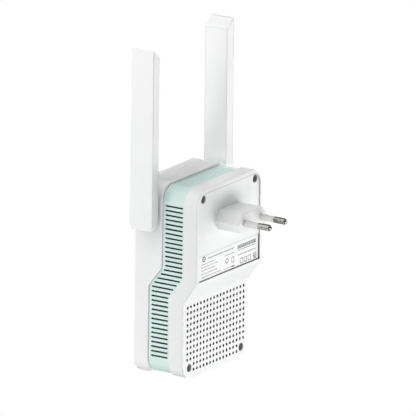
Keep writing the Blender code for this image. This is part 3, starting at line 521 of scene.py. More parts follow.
def vent_places():
    for row in range(VENT_ROWS):
        short = VENT_SHORT_BY if row >= VENT_ROWS - VENT_SHORT_ROWS else 0
        for column in range(short, VENT_COLUMNS - short):
            yield (column - (VENT_COLUMNS - 1) / 2) * VENT_PITCH, VENT_TOP - row * VENT_PITCH


# ---- materials


def set_inputs(node, **values):
    """Sets a node's inputs. Underscores stand for the spaces in their names."""
    for key, value in values.items():
        node.inputs[key.replace("_", " ")].default_value = value


class Nodes:
    """Short names for building a Principled material."""

    def __init__(self, name):
        self.mat = bpy.data.materials.new(name)
        self.mat.use_nodes = True
        self.tree = self.mat.node_tree
        self.shader = self.tree.nodes["Principled BSDF"]

    def add(self, kind, **values):
        node = self.tree.nodes.new(kind)
        set_inputs(node, **values)
        return node

    def link(self, output, target):
        self.tree.links.new(output, target)

    def noise(self, scale, detail=3.0):
        where = self.add("ShaderNodeTexCoord")
        node = self.add("ShaderNodeTexNoise", Scale=scale, Detail=detail)
        self.link(where.outputs["Object"], node.inputs["Vector"])
        return node.outputs["Fac"]

    def remap(self, value, low_out, high_out, low_in=0.3, high_in=0.7):
        node = self.add("ShaderNodeMapRange", From_Min=low_in, From_Max=high_in)
        set_inputs(node, To_Min=low_out, To_Max=high_out)
        self.link(value, node.inputs["Value"])
        return node.outputs["Result"]

    def mix(self, factor, first, second):
        node = self.add("ShaderNodeMix")
        node.data_type = "RGBA"
        set_inputs(node, A=(*first, 1), B=(*second, 1))
        self.link(factor, node.inputs["Factor"])
        return node.outputs["Result"]

    def tint(self, noise, first, second):
        """Lets the noise pick the base colour between two."""
        self.link(self.mix(self.remap(noise, 0, 1), first, second), self.shader.inputs["Base Color"])

    def gloss(self, noise, lowest, highest):
        """Lets the noise pick the roughness."""
        self.link(self.remap(noise, lowest, highest), self.shader.inputs["Roughness"])

    def bump(self, height, strength, distance):
        node = self.add("ShaderNodeBump", Strength=strength, Distance=distance)
        self.link(height, node.inputs["Height"])
        self.link(node.outputs["Normal"], self.shader.inputs["Normal"])


def moulded_plastic(name, colour, roughness=0.4, grain=0.12):
    """Satin moulded plastic: a fine spark grain, cloudy colour, and its sharpest edges a little lighter.
    """
    n = Nodes(name)
    darker = tuple(max(c - 0.015, 0) for c in colour)
    lighter = tuple(min(c * 1.06 + 0.01, 0.93) for c in colour)
    edges = n.add("ShaderNodeNewGeometry")
    edge_lightened = n.mix(n.remap(edges.outputs["Pointiness"], 0.0, 0.6, 0.52, 0.62), colour, lighter)
    n.link(n.mix(n.remap(n.noise(55, 4), 0, 1), darker, colour), edge_lightened.node.inputs["A"])
    n.link(edge_lightened, n.shader.inputs["Base Color"])
    n.gloss(n.noise(300, 3), roughness - 0.05, roughness + 0.05)
    n.bump(n.noise(5200, 2), grain, 0.00004)
    set_inputs(n.shader, IOR=1.5, Specular_IOR_Level=0.4)
    return n.mat


def metal(name, colour, roughness):
    n = Nodes(name)
    n.tint(n.noise(180, 4), tuple(c * 0.86 for c in colour), colour)
    n.gloss(n.noise(900, 4), roughness - 0.06, roughness + 0.08)
    n.bump(n.noise(2600, 3), 0.08, 0.00003)
    set_inputs(n.shader, Metallic=1.0)
    return n.mat


def circuit_board(name):
    """Green solder mask with faint copper tracks under it."""
    n = Nodes(name)
    where = n.add("ShaderNodeTexCoord")
    turn = n.add("ShaderNodeMapping", Rotation=(math.radians(90), 0, 0))
    tracks = n.add("ShaderNodeTexBrick", Scale=160, Mortar_Size=0.06)
    set_inputs(tracks, Color1=(0.02, 0.17, 0.08, 1), Color2=(0.03, 0.24, 0.11, 1))
    set_inputs(tracks, Mortar=(0.05, 0.30, 0.14, 1))
    n.link(where.outputs["Object"], turn.inputs["Vector"])
    n.link(turn.outputs["Vector"], tracks.inputs["Vector"])
    n.link(tracks.outputs["Color"], n.shader.inputs["Base Color"])
    n.gloss(n.noise(400), 0.3, 0.45)
    n.bump(tracks.outputs["Fac"], 0.3, 0.00003)
    return n.mat


def plain_part(name, colour, roughness, spread=0.2):
    """Small inner parts and shaded walls: mottled colour, uneven gloss and a fine grain."""
    n = Nodes(name)
    n.tint(n.noise(240, 4), tuple(c * (1 - spread) for c in colour), colour)
    n.gloss(n.noise(700), roughness - 0.06, roughness + 0.06)
    n.bump(n.noise(3000, 3), 0.1, 0.00004)
    return n.mat


def wall_shade(name, level, spread=0.06, roughness=0.6):
    """A grey for walls that lie in shade."""
    return plain_part(name, (level, level, level), roughness, spread)


def printed_film(name):
    """The label's matt film, with a faint paper tooth."""
    n = Nodes(name)
    n.tint(n.noise(90, 4), (0.90, 0.905, 0.905), (0.93, 0.935, 0.935))
    n.gloss(n.noise(1500, 4), 0.5, 0.62)
    n.bump(n.noise(4200, 3), 0.08, 0.00002)
    return n.mat


def printed_ink(name):
    n = Nodes(name)
    n.tint(n.noise(2600, 3), (0.12, 0.12, 0.125), (0.20, 0.20, 0.205))
    n.gloss(n.noise(1500, 3), 0.5, 0.65)
    return n.mat


def milky_window(name):
    n = Nodes(name)
    n.tint(n.noise(200), (0.80, 0.83, 0.83), (0.87, 0.89, 0.89))
    n.gloss(n.noise(900), 0.16, 0.26)
    set_inputs(n.shader, Subsurface_Weight=0.3, Subsurface_Radius=(0.001, 0.001, 0.001))
    return n.mat


WHITE = moulded_plastic("white_moulded", (0.86, 0.865, 0.865))
ANTENNA_WHITE = moulded_plastic("antenna_moulded", (0.87, 0.875, 0.875), 0.45)
MINT = moulded_plastic("mint_moulded", (0.65, 0.805, 0.765), 0.42)
NYLON = moulded_plastic("sleeve_nylon", (0.70, 0.70, 0.69), 0.3, 0.06)
NICKEL = metal("plated_pin_metal", (0.285, 0.283, 0.278), 0.15)
SCREW_STEEL = metal("screw_zinc", (0.40, 0.40, 0.42), 0.34)
PLATE_STEEL = metal("shield_tin", (0.60, 0.60, 0.61), 0.32)
SPRING_STEEL = metal("spring_steel", (0.38, 0.38, 0.40), 0.3)
ALUMINIUM = metal("extruded_aluminium", (0.70, 0.71, 0.73), 0.38)
COPPER = metal("copper_alloy", (0.72, 0.42, 0.25), 0.3)
BOARD = circuit_board("solder_mask")
BLACK = plain_part("black_moulding", (0.030, 0.030, 0.032), 0.42)
TAPE = plain_part("yellow_tape", (0.72, 0.55, 0.08), 0.35, 0.12)
SLEEVE_BLUE = plain_part("blue_sleeve", (0.03, 0.06, 0.22), 0.28)
CABLE = plain_part("cable_skin", (0.12, 0.12, 0.13), 0.5)
FILM = printed_film("label_film")
INK = printed_ink("label_ink")
WINDOW = milky_window("milky_window")
CAVITY = plain_part("cavity_shade", (0.022, 0.025, 0.025), 0.7)
RIM_SHADE = wall_shade("rim_wall_shade", 0.50)
LABEL_SHADE = wall_shade("label_wall_shade", 0.12, 0.1)
HOLE_SHADE = wall_shade("hole_wall_shade", 0.45, 0.1)
VENT_SHADE = wall_shade("vent_shade", 0.06, 0.1, 0.7)
CREASE_SHADE = wall_shade("crease_shade", 0.66)
GROOVE_SHADE = wall_shade("groove_shade", 0.77)
SEAM_SHADE = wall_shade("seam_shade", 0.70)
# The rear shell's side walls take this white, painted darker as shade.
SHADED_SIDE_WHITE = moulded_plastic("white_side_painted_shade", (0.81, 0.815, 0.815))
# The rear shell's rounded rear edge takes this white, painted lighter as highlight.
HIGHLIT_EDGE_WHITE = moulded_plastic("white_edge_painted_highlight", (0.93, 0.93, 0.93))
REAR_LINE_SHADE = wall_shade("rear_line_shade", 0.72)
# Mint painted lighter as highlight, for the sloping ends of the band's top recess.
HIGHLIT_MINT_EDGE = moulded_plastic("mint_edge_painted_highlight", (0.80, 0.90, 0.87), 0.42)


# ---- pieces


def claim(obj, body, slot, *nodes):
    """Ties a finished piece to its body and hides the CAD nodes it stands for; slot is not used."""
    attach(obj, body)
    if nodes:
        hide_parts(*nodes)


def build_rear_shell():
    profiles = (REAR_FACE, REAR_SEAM)
    seam, inner = moved(REAR_SEAM, SEAM_GAP), moved(REAR_FACE, -BACK_WALL)
    bevel = 0.3 * MM
    rings = [(bevel, seam, 0.0), (0.0, seam, -bevel)]
    rings += [(inset, REAR_FACE, drop) for inset, drop in quarter(REAR_EDGE, EDGE_STEPS)]
    # Material index of each band: 1 is the side wall, painted darker as shade; 2 is the rounded rear edge,
    # painted lighter as highlight.
    finishes = [0, 1] + [2] * EDGE_STEPS
    shell = new_object("rear_case_shell", shape(add_case_block, rings, profiles, finishes), WHITE)
    shell.data.materials.append(SHADED_SIDE_WHITE)
    shell.data.materials.append(HIGHLIT_EDGE_WHITE)

    hollow = [(WALL, moved(REAR_SEAM, -HOLLOW_PAST), 0.0), (WALL, inner, 0.0)]
    combine(shell, shape(add_case_block, hollow, (inner, REAR_SEAM)))
    radius, reach, overlap = 4.2 * MM, 9.7 * MM, 0.5 * MM
    ends = (REAR_FACE, -reach), (REAR_FACE, overlap - BACK_WALL)
    combine(shell, shape(add_screw_posts, *ends, radius, steps=32), "UNION")
    combine(shell, shape(add_panel), finish=RIM_SHADE)
    combine(shell, shape(add_label_place), finish=LABEL_SHADE)
    combine(shell, shape(add_crease), finish=CREASE_SHADE)
    combine(shell, shape(add_rear_line, profiles), finish=REAR_LINE_SHADE)
    combine(shell, shape(add_screw_holes), finish=HOLE_SHADE)
    combine(shell, shape(add_rear_openings), finish=VENT_SHADE)
    finish_surface(shell)
    claim(shell, "case", "white_shell", "rear_shell")


def panel_outline(grow):
    """The recessed panel: square-cornered below, with the case's own round corners above."""
    half, base, top = CASE_HALF - RIM + grow, PANEL_BOTTOM - grow, CASE_TOP - RIM + grow
    tight, wide = 0.8 * MM, CORNER - RIM + grow
    points = arc((half - tight, base + tight), tight, -90, 0, steps=4)
    points += arc((half - wide, top - wide), wide, 0, 90, CORNER_STEPS)
    points += arc((wide - half, top - wide), wide, 90, 180, CORNER_STEPS)
    points += arc((tight - half, base + tight), tight, 180, 270, steps=4)
    return points


def add_panel(bm):
    """The cut for the panel inside the rim, with an eased edge."""
    ease = 0.18 * MM
    levels = [REAR_Y - PANEL_DEPTH, REAR_Y - ease, REAR_Y, REAR_Y + ease]
    add_loft(bm, [panel_outline(grow) for grow in (0.0, 0.0, ease, 2 * ease)], "Y", levels, [1, 0, 0])


def add_label_place(bm):
    """The deeper cut for the label. Its upper wall slopes, the other three are upright."""
    half, slope, corner = CASE_HALF - RIM, 0.8 * MM, 0.6 * MM
    over_panel, over_rim, under_slope = 0.005 * MM, 0.2 * MM, 0.1 * MM
    tops = [LABEL_TOP, LABEL_TOP + slope, LABEL_TOP + slope]
    outlines = [rounded_outline(-half, half, PANEL_BOTTOM, top, corner, steps=4) for top in tops]
    levels = [REAR_Y - LABEL_DEPTH, REAR_Y - PANEL_DEPTH + over_panel, REAR_Y + over_rim]
    add_loft(bm, outlines, "Y", levels, [1, 1])
    for face in bm.faces:
        if face.calc_center_median().z > LABEL_TOP - under_slope:
            face.material_index = 0


def add_crease(bm):
    """A fine groove round the foot of the panel's wall."""
    floor, width = REAR_Y - PANEL_DEPTH, 0.85 * MM
    deep, past = floor - 0.12 * MM, floor + 0.01 * MM
    corners = [(0.0, deep), (0.0, past), (-width, past), (-width, deep)]
    add_groove(bm, [[bm.verts.new((u, y, v)) for u, v in panel_outline(grow)] for grow, y in corners])


def add_rear_line(bm, profiles):
    """A fine groove round the shell's side, just in front of its rounded rear edge."""
    floor, past = 0.15 * MM, -0.4 * MM
    start, end = REAR_EDGE + 0.05 * MM, REAR_EDGE + 0.3 * MM
    corners = [(floor, end), (past, end), (past, start), (floor, start)]
    add_groove(bm, add_case_rings(bm, [(inset, REAR_FACE, ahead) for inset, ahead in corners], profiles))


def add_screw_holes(bm):
    """At each case screw, a hole for the head and a narrower one on through the boss."""
    ease, radius, depth = 0.3 * MM, 1.6 * MM, 14 * MM
    for x, z in SCREWS.values():
        face = depth_at(REAR_FACE, z) - (PANEL_DEPTH if z > PANEL_BOTTOM else 0.0)
        seat = face - HEAD_HOLE_DEPTH
        profile = eased_mouth(HEAD_HOLE_RADIUS, ease, face, PAST)
        profile += [(HEAD_HOLE_RADIUS, seat), (radius, seat), (radius, face - depth), (0, face - depth)]
        add_turned(bm, profile, steps=32, matrix=at(x, 0, z), finishes=[0, 0, 0, 1, 1, 1, 1])


def add_rear_openings(bm):
    """The hole for the plug and the round vents."""
    fit, plug_cut, ease, vent_cut = 0.05 * MM, 6 * MM, 0.18 * MM, 5 * MM
    add_prism(bm, plug_outline(fit), REAR_Y - plug_cut, REAR_Y + PAST)
    for x, z in vent_places():
        face = depth_at(REAR_FACE, z)
        profile = eased_mouth(VENT_RADIUS, ease, face, FINE_PAST)
        profile += [(VENT_RADIUS, face - vent_cut), (0, face - vent_cut)]
        add_turned(bm, profile, steps=18, matrix=at(x, 0, z), finishes=[0, 0, 0, 1, 1])


def add_side_slots(bm):
    """Slots along Y in both sides: an eased mouth, then a straight throat."""
    face, ease, depth, half = CASE_HALF - BAND_INSET, 0.12 * MM, 6 * MM, SLOT_WIDTH / 2
    for side in (RIGHT, LEFT):
        levels = [side * x for x in (face - depth, face - ease, face, face + FINE_PAST)]
        for i in range(SIDE_SLOTS):
            z = SIDE_SLOT_TOP - i * SLOT_PITCH
            start = depth_at(FRONT_SEAM, z) + SLOT_FRONT_MARGIN
            end = depth_at(REAR_SEAM, z) - SLOT_REAR_MARGIN
            middle, reach = (start + end) / 2, (end - start) / 2
            throat = pill(middle, z, reach, half, SLOT_STEPS)
            mouth = pill(middle, z, reach + ease, half + ease, SLOT_STEPS)
            add_loft(bm, [throat, throat, mouth, mouth], "X", levels, [1, 0, 0])


def add_top_slots(bm, start, end, top):
    """Slots along Y in the band's top: a flared mouth, then a throat whose walls below the skin are
    painted dark as shade.
    """
    half, flare, skin, depth = SLOT_WIDTH / 2, 0.25 * MM, 0.6 * MM, 6 * MM
    middle, reach = (start + end) / 2, (end - start) / 2
    levels = [top - depth, top - skin, top - flare, top, top + FINE_PAST]
    for x in top_slot_places():
        throat = pill(x, middle, half, reach - flare, SLOT_STEPS)
        mouth = pill(x, middle, half + flare, reach, SLOT_STEPS)
        add_loft(bm, [throat, throat, throat, mouth, mouth], "Z", levels, [1, 0, 0, 0])


def build_middle_band():
    profiles = (REAR_SEAM, FRONT_SEAM)
    rear, front = moved(REAR_SEAM, -SEAM_GAP), moved(FRONT_SEAM, SEAM_GAP)
    inset, bevel = BAND_INSET, 0.2 * MM
    rings = [(inset + bevel, front, 0.0), (inset, front, -bevel)]
    rings += [(inset, rear, bevel), (inset + bevel, rear, 0.0)]
    band = new_object("mint_middle_band", shape(add_case_block, rings, profiles), MINT)

    tongue, reach = WALL + 0.3 * MM, 1.5 * MM  # the inner wall, which reaches into both shells
    rings = [(tongue, FRONT_SEAM, reach), (tongue, REAR_SEAM, -reach)]
    combine(band, shape(add_case_block, rings, profiles), "UNION")
    hollow, past = tongue + 1.5 * MM, 4 * MM
    rings = [(hollow, FRONT_SEAM, past), (hollow, REAR_SEAM, -past)]
    combine(band, shape(add_case_block, rings, profiles))

    combine(band, shape(add_band_recess), finish=HIGHLIT_MINT_EDGE)
    combine(band, shape(add_band_openings), finish=CAVITY)
    passage = 3.2 * MM
    combine(band, shape(add_screw_posts, (FRONT_SEAM, -past), (REAR_SEAM, past), passage, steps=24))
    finish_surface(band)
    claim(band, "case", "mint_shell", "middle_band")


def band_top_ends(margin):
    return depth_at(FRONT_SEAM, CASE_TOP) + margin, depth_at(REAR_SEAM, CASE_TOP) - margin


def add_band_recess(bm):
    """The shallow recess round the band's top slots. Its sloping ends carry mint painted lighter as
    highlight.
    """
    top, half, run, margin = CASE_TOP - BAND_INSET, BAND_TOP_RECESS_HALF, 0.7 * MM, 0.4 * MM
    outline = trough_outline(0, half, half + run, top - BAND_TOP_RECESS, top)
    add_prism(bm, outline, *band_top_ends(margin))
    # The sloping ends get index 1: mint painted lighter as highlight.
    for face in bm.faces:
        middle = face.calc_center_median()
        if abs(middle.x) > half and middle.z < top:
            face.material_index = 1


def add_band_openings(bm):
    """The slots in both sides and in the top, and the opening of the network socket."""
    margin, socket_cut = 0.8 * MM, 6 * MM
    add_side_slots(bm)
    add_top_slots(bm, *band_top_ends(margin), CASE_TOP - BAND_INSET - BAND_TOP_RECESS)
    lowest = (-SOCKET_HALF, SOCKET_FRONT, CASE_BOTTOM - PAST)
    add_box(bm, lowest, (SOCKET_HALF, SOCKET_REAR, CASE_BOTTOM + socket_cut))


def build_front_shell():
    profiles = (FRONT_SEAM,)
    seam = moved(FRONT_SEAM, -SEAM_GAP)
    rings = [(inset, FRONT_FACE, -drop) for inset, drop in reversed(quarter(FRONT_EDGE, EDGE_STEPS))]
    rings += [(inset, seam, drop) for inset, drop in quarter(LIP_EDGE, steps=4)]
    shell = new_object("front_case_shell", shape(add_case_block, rings, profiles), WHITE)

    hollow = [(WALL, FRONT_FACE, -WALL), (WALL, moved(FRONT_SEAM, HOLLOW_PAST), 0.0)]
    combine(shell, shape(add_case_block, hollow, profiles))
    radius, overlap, short = 2.9 * MM, 1 * MM, 10 * MM
    ends = (FRONT_FACE, overlap), (REAR_FACE, -short)
    combine(shell, shape(add_screw_posts, *ends, radius, steps=24), "UNION")
    end = depth_at(FRONT_SEAM, CASE_TOP) - TOP_LIP
    combine(shell, shape(add_rib_grooves, end), finish=GROOVE_SHADE)
    combine(shell, shape(add_front_openings, end), finish=CAVITY)
    finish_surface(shell)
    claim(shell, "case", "white_shell", "front_shell")


def add_rib_grooves(bm, end):
    """V-sided grooves between the ribs of the top grille."""
    half_floor, half_mouth, depth = 0.6 * MM, 0.95 * MM, 0.6 * MM
    for x in top_slot_places():
        outline = trough_outline(x, half_floor, half_mouth, CASE_TOP - depth, CASE_TOP)
        add_prism(bm, outline, FRONT_Y - PAST, end)
    for face in bm.faces:
        face.material_index = 1


def add_front_openings(bm, end):
    """The slots in the top grille, the hinge holes, and the openings for the button and the window."""
    margin, depth, hinge_hole = 0.3 * MM, 4 * MM, 3.2 * MM
    start = FRONT_Y + WALL + margin
    for x in top_slot_places():
        outline = pill(x, (start + end) / 2, SLOT_WIDTH / 2, (end - start) / 2 - margin, SLOT_STEPS)
        add_loft(bm, [outline, outline], "Z", [CASE_TOP - depth, CASE_TOP], [1])
    for side in (RIGHT, LEFT):
        ends = sorted((side * (CASE_HALF - depth), side * (CASE_HALF + PAST)))
        add_prism(bm, circle(HINGE_Y, HINGE_Z, hinge_hole, steps=32), *ends, "X")
    ease = 0.25 * MM
    levels = [FRONT_Y - FINE_PAST, FRONT_Y, FRONT_Y + ease, FRONT_Y + depth]
    for z, half_width, half_height, gap in FRONT_FITTINGS.values():
        grows = (gap + ease, gap + ease, gap, gap)
        add_loft(bm, [pill(0, z, half_width + g, half_height + g, steps=8) for g in grows], "Y", levels)


def plug_outline(grow=0.0):
    """The flat six-sided plug, sharp at its two side ridges and well rounded above and below."""
    half_width, half_height, flat = 16.8 * MM + grow, 6.6 * MM + grow, 11.4 * MM
    corners = [
        (half_width, 0),
        (flat, half_height),
        (-flat, half_height),
        (-half_width, 0),
        (-flat, -half_height),
        (flat, -half_height),
    ]
    ridge, shoulder = 0.6 * MM, 3.4 * MM
    return rounded_polygon(corners, (ridge, shoulder, shoulder), steps=6)


def build_plug():
    sunk = 1 * MM
    outlines, levels = [plug_outline()], [REAR_Y - PANEL_DEPTH - sunk]
    for inset, drop in quarter(PLUG_EDGE, EDGE_STEPS):
        outlines.append(plug_outline(-inset))
        levels.append(-drop)
    plug = new_object("plug_body", shape(add_loft, outlines, "Y", levels), WHITE)
    radius, depth = 2.35 * MM, 3 * MM
    for _, side in SIDES:
        hole = [(0, PAST), (radius, PAST), (radius, -depth), (0, -depth)]
        combine(plug, shape(add_turned, hole, steps=32, matrix=pin_frame(side)))
    finish_surface(plug)
    claim(plug, "case", "white_shell", "plug_base")


def pin_frame(side):
    """Puts a turned shape on a pin's axis. The pins lean towards each other."""
    lean = math.atan2(PIN_SPREAD - PIN_TIP_SPREAD, PIN_LENGTH)
    return at(side * PIN_SPREAD, 0, 0) @ Matrix.Rotation(side * lean, 4, "Z")


def pin_profile():
    radius, rounding, step, root = 2.0 * MM, 1.5 * MM, 0.2 * MM, -27 * MM
    profile = [(0, PIN_LENGTH)]
    profile += reversed(arc((radius - rounding, PIN_LENGTH - rounding), rounding, 0, 90, steps=8))
    profile += [(radius, SLEEVE_END + step), (radius - step, SLEEVE_END)]
    return profile + [(PIN_CORE, SLEEVE_END), (PIN_CORE, root), (0, root)]


def sleeve_profile():
    """The sleeve on the pin's thin root, with a collar at the plug."""
    radius, gap, ease, root = 1.95 * MM, 0.02 * MM, 0.2 * MM, -2.7 * MM
    collar, collar_end, rounding, slope = 2.3 * MM, 3.4 * MM, 0.3 * MM, 0.6 * MM
    hole, end = PIN_CORE + gap, SLEEVE_END - gap
    profile = [(radius - ease, end), (radius, end - ease), (radius, collar_end + slope)]
    profile += reversed(arc((collar - rounding, collar_end), rounding, 0, 60, steps=4))
    return profile + [(collar, root), (hole, root), (hole, end)]


def build_pins():
    for name, side in SIDES:
        for piece, node, profile, finish, slot in (
            (f"pin_{name}", f"plug_pin_{name}", pin_profile(), NICKEL, "nickel_plate"),
            (f"sleeve_{name}", f"pin_sleeve_{name}", sleeve_profile(), NYLON, "white_nylon"),
        ):
            obj = new_object(piece, shape(add_turned, profile, steps=40, matrix=pin_frame(side)), finish)
            finish_surface(obj, angle=40)
            claim(obj, "case", slot, node)


def screw_profile(top, end):
    """Head, thread and end of a case screw."""
    start, pitch, turns, core, crest = 2.2 * MM, 0.7 * MM, 20, 1.0 * MM, 1.3 * MM
    profile = [(radius * MM, top - drop * MM) for radius, drop in SCREW_HEAD]
    for i in range(turns):
        y = top - start - i * pitch
        profile += [(core, y), (crest, y - pitch / 2)]
    return profile + [(0, end)]


def build_screws():
    arm, half, depth = 1.3 * MM, 0.28 * MM, 0.9 * MM  # of the cross recess
    for name, (x, z) in SCREWS.items():
        top = high(name).y
        profile = screw_profile(top, low(name).y)
        turned = shape(add_turned, profile, steps=28, matrix=at(x, 0, z))
        screw = new_object(f"{name}_steel", turned, SCREW_STEEL)
        for wide, tall in ((arm, half), (half, arm)):
            lowest = (x - wide, top - depth, z - tall)
            combine(screw, shape(add_box, lowest, (x + wide, top + FINE_PAST, z + tall)))
        finish_surface(screw, angle=30)
        claim(screw, "case", "zinc_steel", name)


# ---- label


def build_label():
    lowest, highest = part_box("rating_label")
    corner, gap = 0.8 * MM, 0.02 * MM
    outline = rounded_outline(lowest.x, highest.x, lowest.z, highest.z, corner, steps=6)
    floor = REAR_Y - LABEL_DEPTH + gap
    label = new_object("label_film_piece", shape(add_prism, outline, floor, highest.y), FILM)
    finish_surface(label)
    claim(label, "case", "label_paper", "rating_label")
    for name, add in (("label_print", add_label_print), ("label_rings", add_label_rings)):
        claim(new_object(name, shape(add, highest.y), INK), "case", "label_paper")


def add_label_print(bm, face):
    """Generic print: rows of dashes, a striped strip, plain icons and a grid of squares."""
    rng = random.Random(7)

    def bar(x0, x1, z0, z1):
        add_box(bm, (min(x0, x1) * MM, face - LIFT, z0 * MM), (max(x0, x1) * MM, face + LIFT, z1 * MM))

    for x, end, middle, height in TEXT_ROWS:
        while x > end + DASH[0]:
            length = min(rng.uniform(*DASH), x - end)
            bar(x - length, x, middle - height / 2, middle + height / 2)
            x -= length + rng.uniform(*DASH_GAP)

    x, end, base, top = STRIPES
    while x > end:
        width = rng.uniform(*STRIPE)
        bar(x - width, x, base, top)
        x -= width + rng.uniform(*STRIPE_GAP)
    bar(*SHORT_STRIP)

    for frame_place in FRAMES:
        add_frame(bar, *frame_place, FRAME_LINE)
    for row in range(GRID_CELLS):
        for column in range(GRID_CELLS):
            if rng.random() < GRID_SHARE:
                left, base = GRID_RIGHT - column * GRID_CELL, GRID_BASE + row * GRID_CELL
                bar(left - GRID_CELL, left, base, base + GRID_CELL)


def add_label_rings(bm, face):
    """Plain rings, and a dot where the hole's radius is 0."""
    top, base = face + LIFT, face - LIFT
    for x, z, radius, hole in RINGS:
        rim = [(radius * MM, top), (radius * MM, base)]
        tube = rim + [(hole * MM, base), (hole * MM, top)] if hole else [(0, top), *rim, (0, base)]
        add_turned(bm, tube, steps=32, matrix=at(x * MM, 0, z * MM))


def add_frame(bar, x, z, half_width, half_height, line):
    """The outline of a box, as four bars."""
    for side in (1, -1):
        edge = x + side * half_width
        bar(edge - side * line, edge, z - half_height, z + half_height)
        level = z + side * half_height
        inner = half_width - line
        bar(x - inner, x + inner, *sorted((level - side * line, level)))


# ---- antennas


def blade_outline(x, grow=0.0):
    """The blade's outline at a distance from the case's middle. The top slopes, the foot is round."""
    share = (x - BLADE_INNER_X) / (BLADE_OUTER_X - BLADE_INNER_X)
    top = BLADE_TOP_INNER + share * (BLADE_TOP_OUTER - BLADE_TOP_INNER) + grow
    low_y, high_y, bottom = BLADE_FRONT_Y - grow, BLADE_REAR_Y + grow, BLADE_BOTTOM - grow
    radius = BLADE_CORNER + grow
    points = arc((low_y + radius, bottom + radius), radius, 180, 270, steps=8)
    points += arc((high_y - radius, bottom + radius), radius, 270, 360, steps=8)
    return points + [(high_y, top), (low_y, top)]


def cut_blade_ring(cover, side, corners):
    """Cuts a groove round the blade. Its section's corners are (x, distance outside the blade)."""
    bm = bmesh.new()
    rings = []
    for x, grow in corners:
        rings.append([bm.verts.new((side * x, y, z)) for y, z in blade_outline(x, grow)])
    add_groove(bm, rings)
    combine(cover, bm, finish=SEAM_SHADE)


def cut_outer_seam(cover, side):
    """A fine groove just behind the outer plate."""
    far = BLADE_OUTER_X - 0.35 * MM
    near = far - 0.3 * MM
    depth, past = -0.25 * MM, 0.5 * MM
    cut_blade_ring(cover, side, [(far, depth), (far, past), (near, past), (near, depth)])


def cut_inner_seam(cover, side):
    """A fine groove in the inner face, just inside its edges."""
    floor, past = BLADE_INNER_X + 0.15 * MM, BLADE_INNER_X - 0.3 * MM
    start, end = -0.35 * MM, -0.55 * MM
    cut_blade_ring(cover, side, [(past, end), (past, start), (floor, start), (floor, end)])


def build_antenna(name, side):
    """Both halves of a blade: each is the whole blade, cut off at the middle."""
    middle, gap, past = (BLADE_INNER_X + BLADE_OUTER_X) / 2, 0.03 * MM, 2 * MM
    halves = {
        "outer": (middle + gap, BLADE_OUTER_X + past),
        "inner": (BLADE_INNER_X - past, middle - gap),
    }
    ends = (BLADE_INNER_X, BLADE_OUTER_X)
    outlines, levels = [blade_outline(x) for x in ends], [side * x for x in ends]
    for part, kept in halves.items():
        blade = shape(add_loft, outlines, "X", levels)
        cover = new_object(f"antenna_{part}_half_{name}", blade, ANTENNA_WHITE)
        round_edges(cover, BLADE_EDGE, segments=4)
        start, end = sorted(side * x for x in kept)
        lowest = (start, BLADE_FRONT_Y - past, BLADE_BOTTOM - past)
        highest = (end, BLADE_REAR_Y + past, BLADE_TOP_OUTER + past)
        combine(cover, shape(add_box, lowest, highest), "INTERSECT")
        if part == "inner":
            cut_inner_seam(cover, side)
            add_pivot(cover, side)
        else:
            cut_outer_seam(cover, side)
        finish_surface(cover)
        claim(cover, f"antenna_{name}", "white_shell", f"antenna_{part}_cover_{name}")


def add_pivot(cover, side):
    turn = at(0, HINGE_Y, HINGE_Z) @ Matrix.Rotation(math.radians(-90 * side), 4, "Z")
    profile = [(radius * MM, out * MM) for radius, out in PIVOT_DISC + PIVOT_TUBE + PIVOT_HOLE_END]
    combine(cover, shape(add_turned, profile, steps=40, matrix=turn), "UNION")


# ---- fittings


def build_fitting(piece, node, body, slot, finish, edge, steps, short=0.0):
    """A cap with a rounded front edge, which may stop short of its node's inner end."""
    z, half_width, half_height, _ = FRONT_FITTINGS[node]
    lowest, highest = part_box(node)
    caps = [(inset, lowest.y + drop) for inset, drop in reversed(quarter(edge, steps))]
    caps.append((0.0, highest.y - short))
    outlines = [pill(0, z, half_width - inset, half_height - inset, steps=10) for inset, _ in caps]
    cap = new_object(piece, shape(add_loft, outlines, "Y", [y for _, y in caps]), finish)
    finish_surface(cap)
    claim(cap, body, slot, node)


def build_front_fittings():
    button = ("pair_button_cap", "pair_button", "button", "white_shell", WHITE)
    window = ("status_window", "light_window", "case", "light_diffuser", WINDOW)
    build_fitting(*button, edge=0.5 * MM, steps=4, short=1.5 * MM)
    build_fitting(*window, edge=0.2 * MM, steps=3)


def add_socket_contacts(bm):
    """Sprung wires along the front wall of the network socket."""
    mouth = low("network_jack").z
    route = [(SOCKET_WALL + out * MM, mouth + up * MM) for out, up in CONTACT_PATH]
    outline = route + [(y + CONTACT_THICKNESS, z) for y, z in reversed(route)]
    for i in range(CONTACTS):
        x = (i - (CONTACTS - 1) / 2) * CONTACT_PITCH
        add_prism(bm, outline, x - CONTACT_WIDTH / 2, x + CONTACT_WIDTH / 2, "X")


def build_socket_contacts():
    contacts = new_object("socket_contacts", shape(add_socket_contacts), COPPER)
    round_edges(contacts, CONTACT_EDGE, segments=2)
    finish_surface(contacts, angle=50)
    claim(contacts, "case", "copper_alloy")


# ---- nodes kept from the frame


KEPT = {
    "main_board": BOARD,
    "power_board": BOARD,
    "antenna_element": BOARD,
    "transformer": TAPE,
    "bulk_capacitor": SLEEVE_BLUE,
    "line_fuse": BLACK,
    "bridge_rectifier": BLACK,
    "board_link_header": BLACK,
    "line_transformer": BLACK,
    "network_jack": BLACK,
    "button_switch": BLACK,
    "heat_sink": ALUMINIUM,
    "radio_shield": PLATE_STEEL,
    "main_board_screw": SCREW_STEEL,
    "power_board_screw": SCREW_STEEL,
    "pivot_clip": SPRING_STEEL,
    "friction_washer": NYLON,
    "contact_strap": COPPER,
    "coax_plug": NICKEL,
    "coax_lead": CABLE,
    "antenna_cable": CABLE,
    "status_led": WINDOW,
}


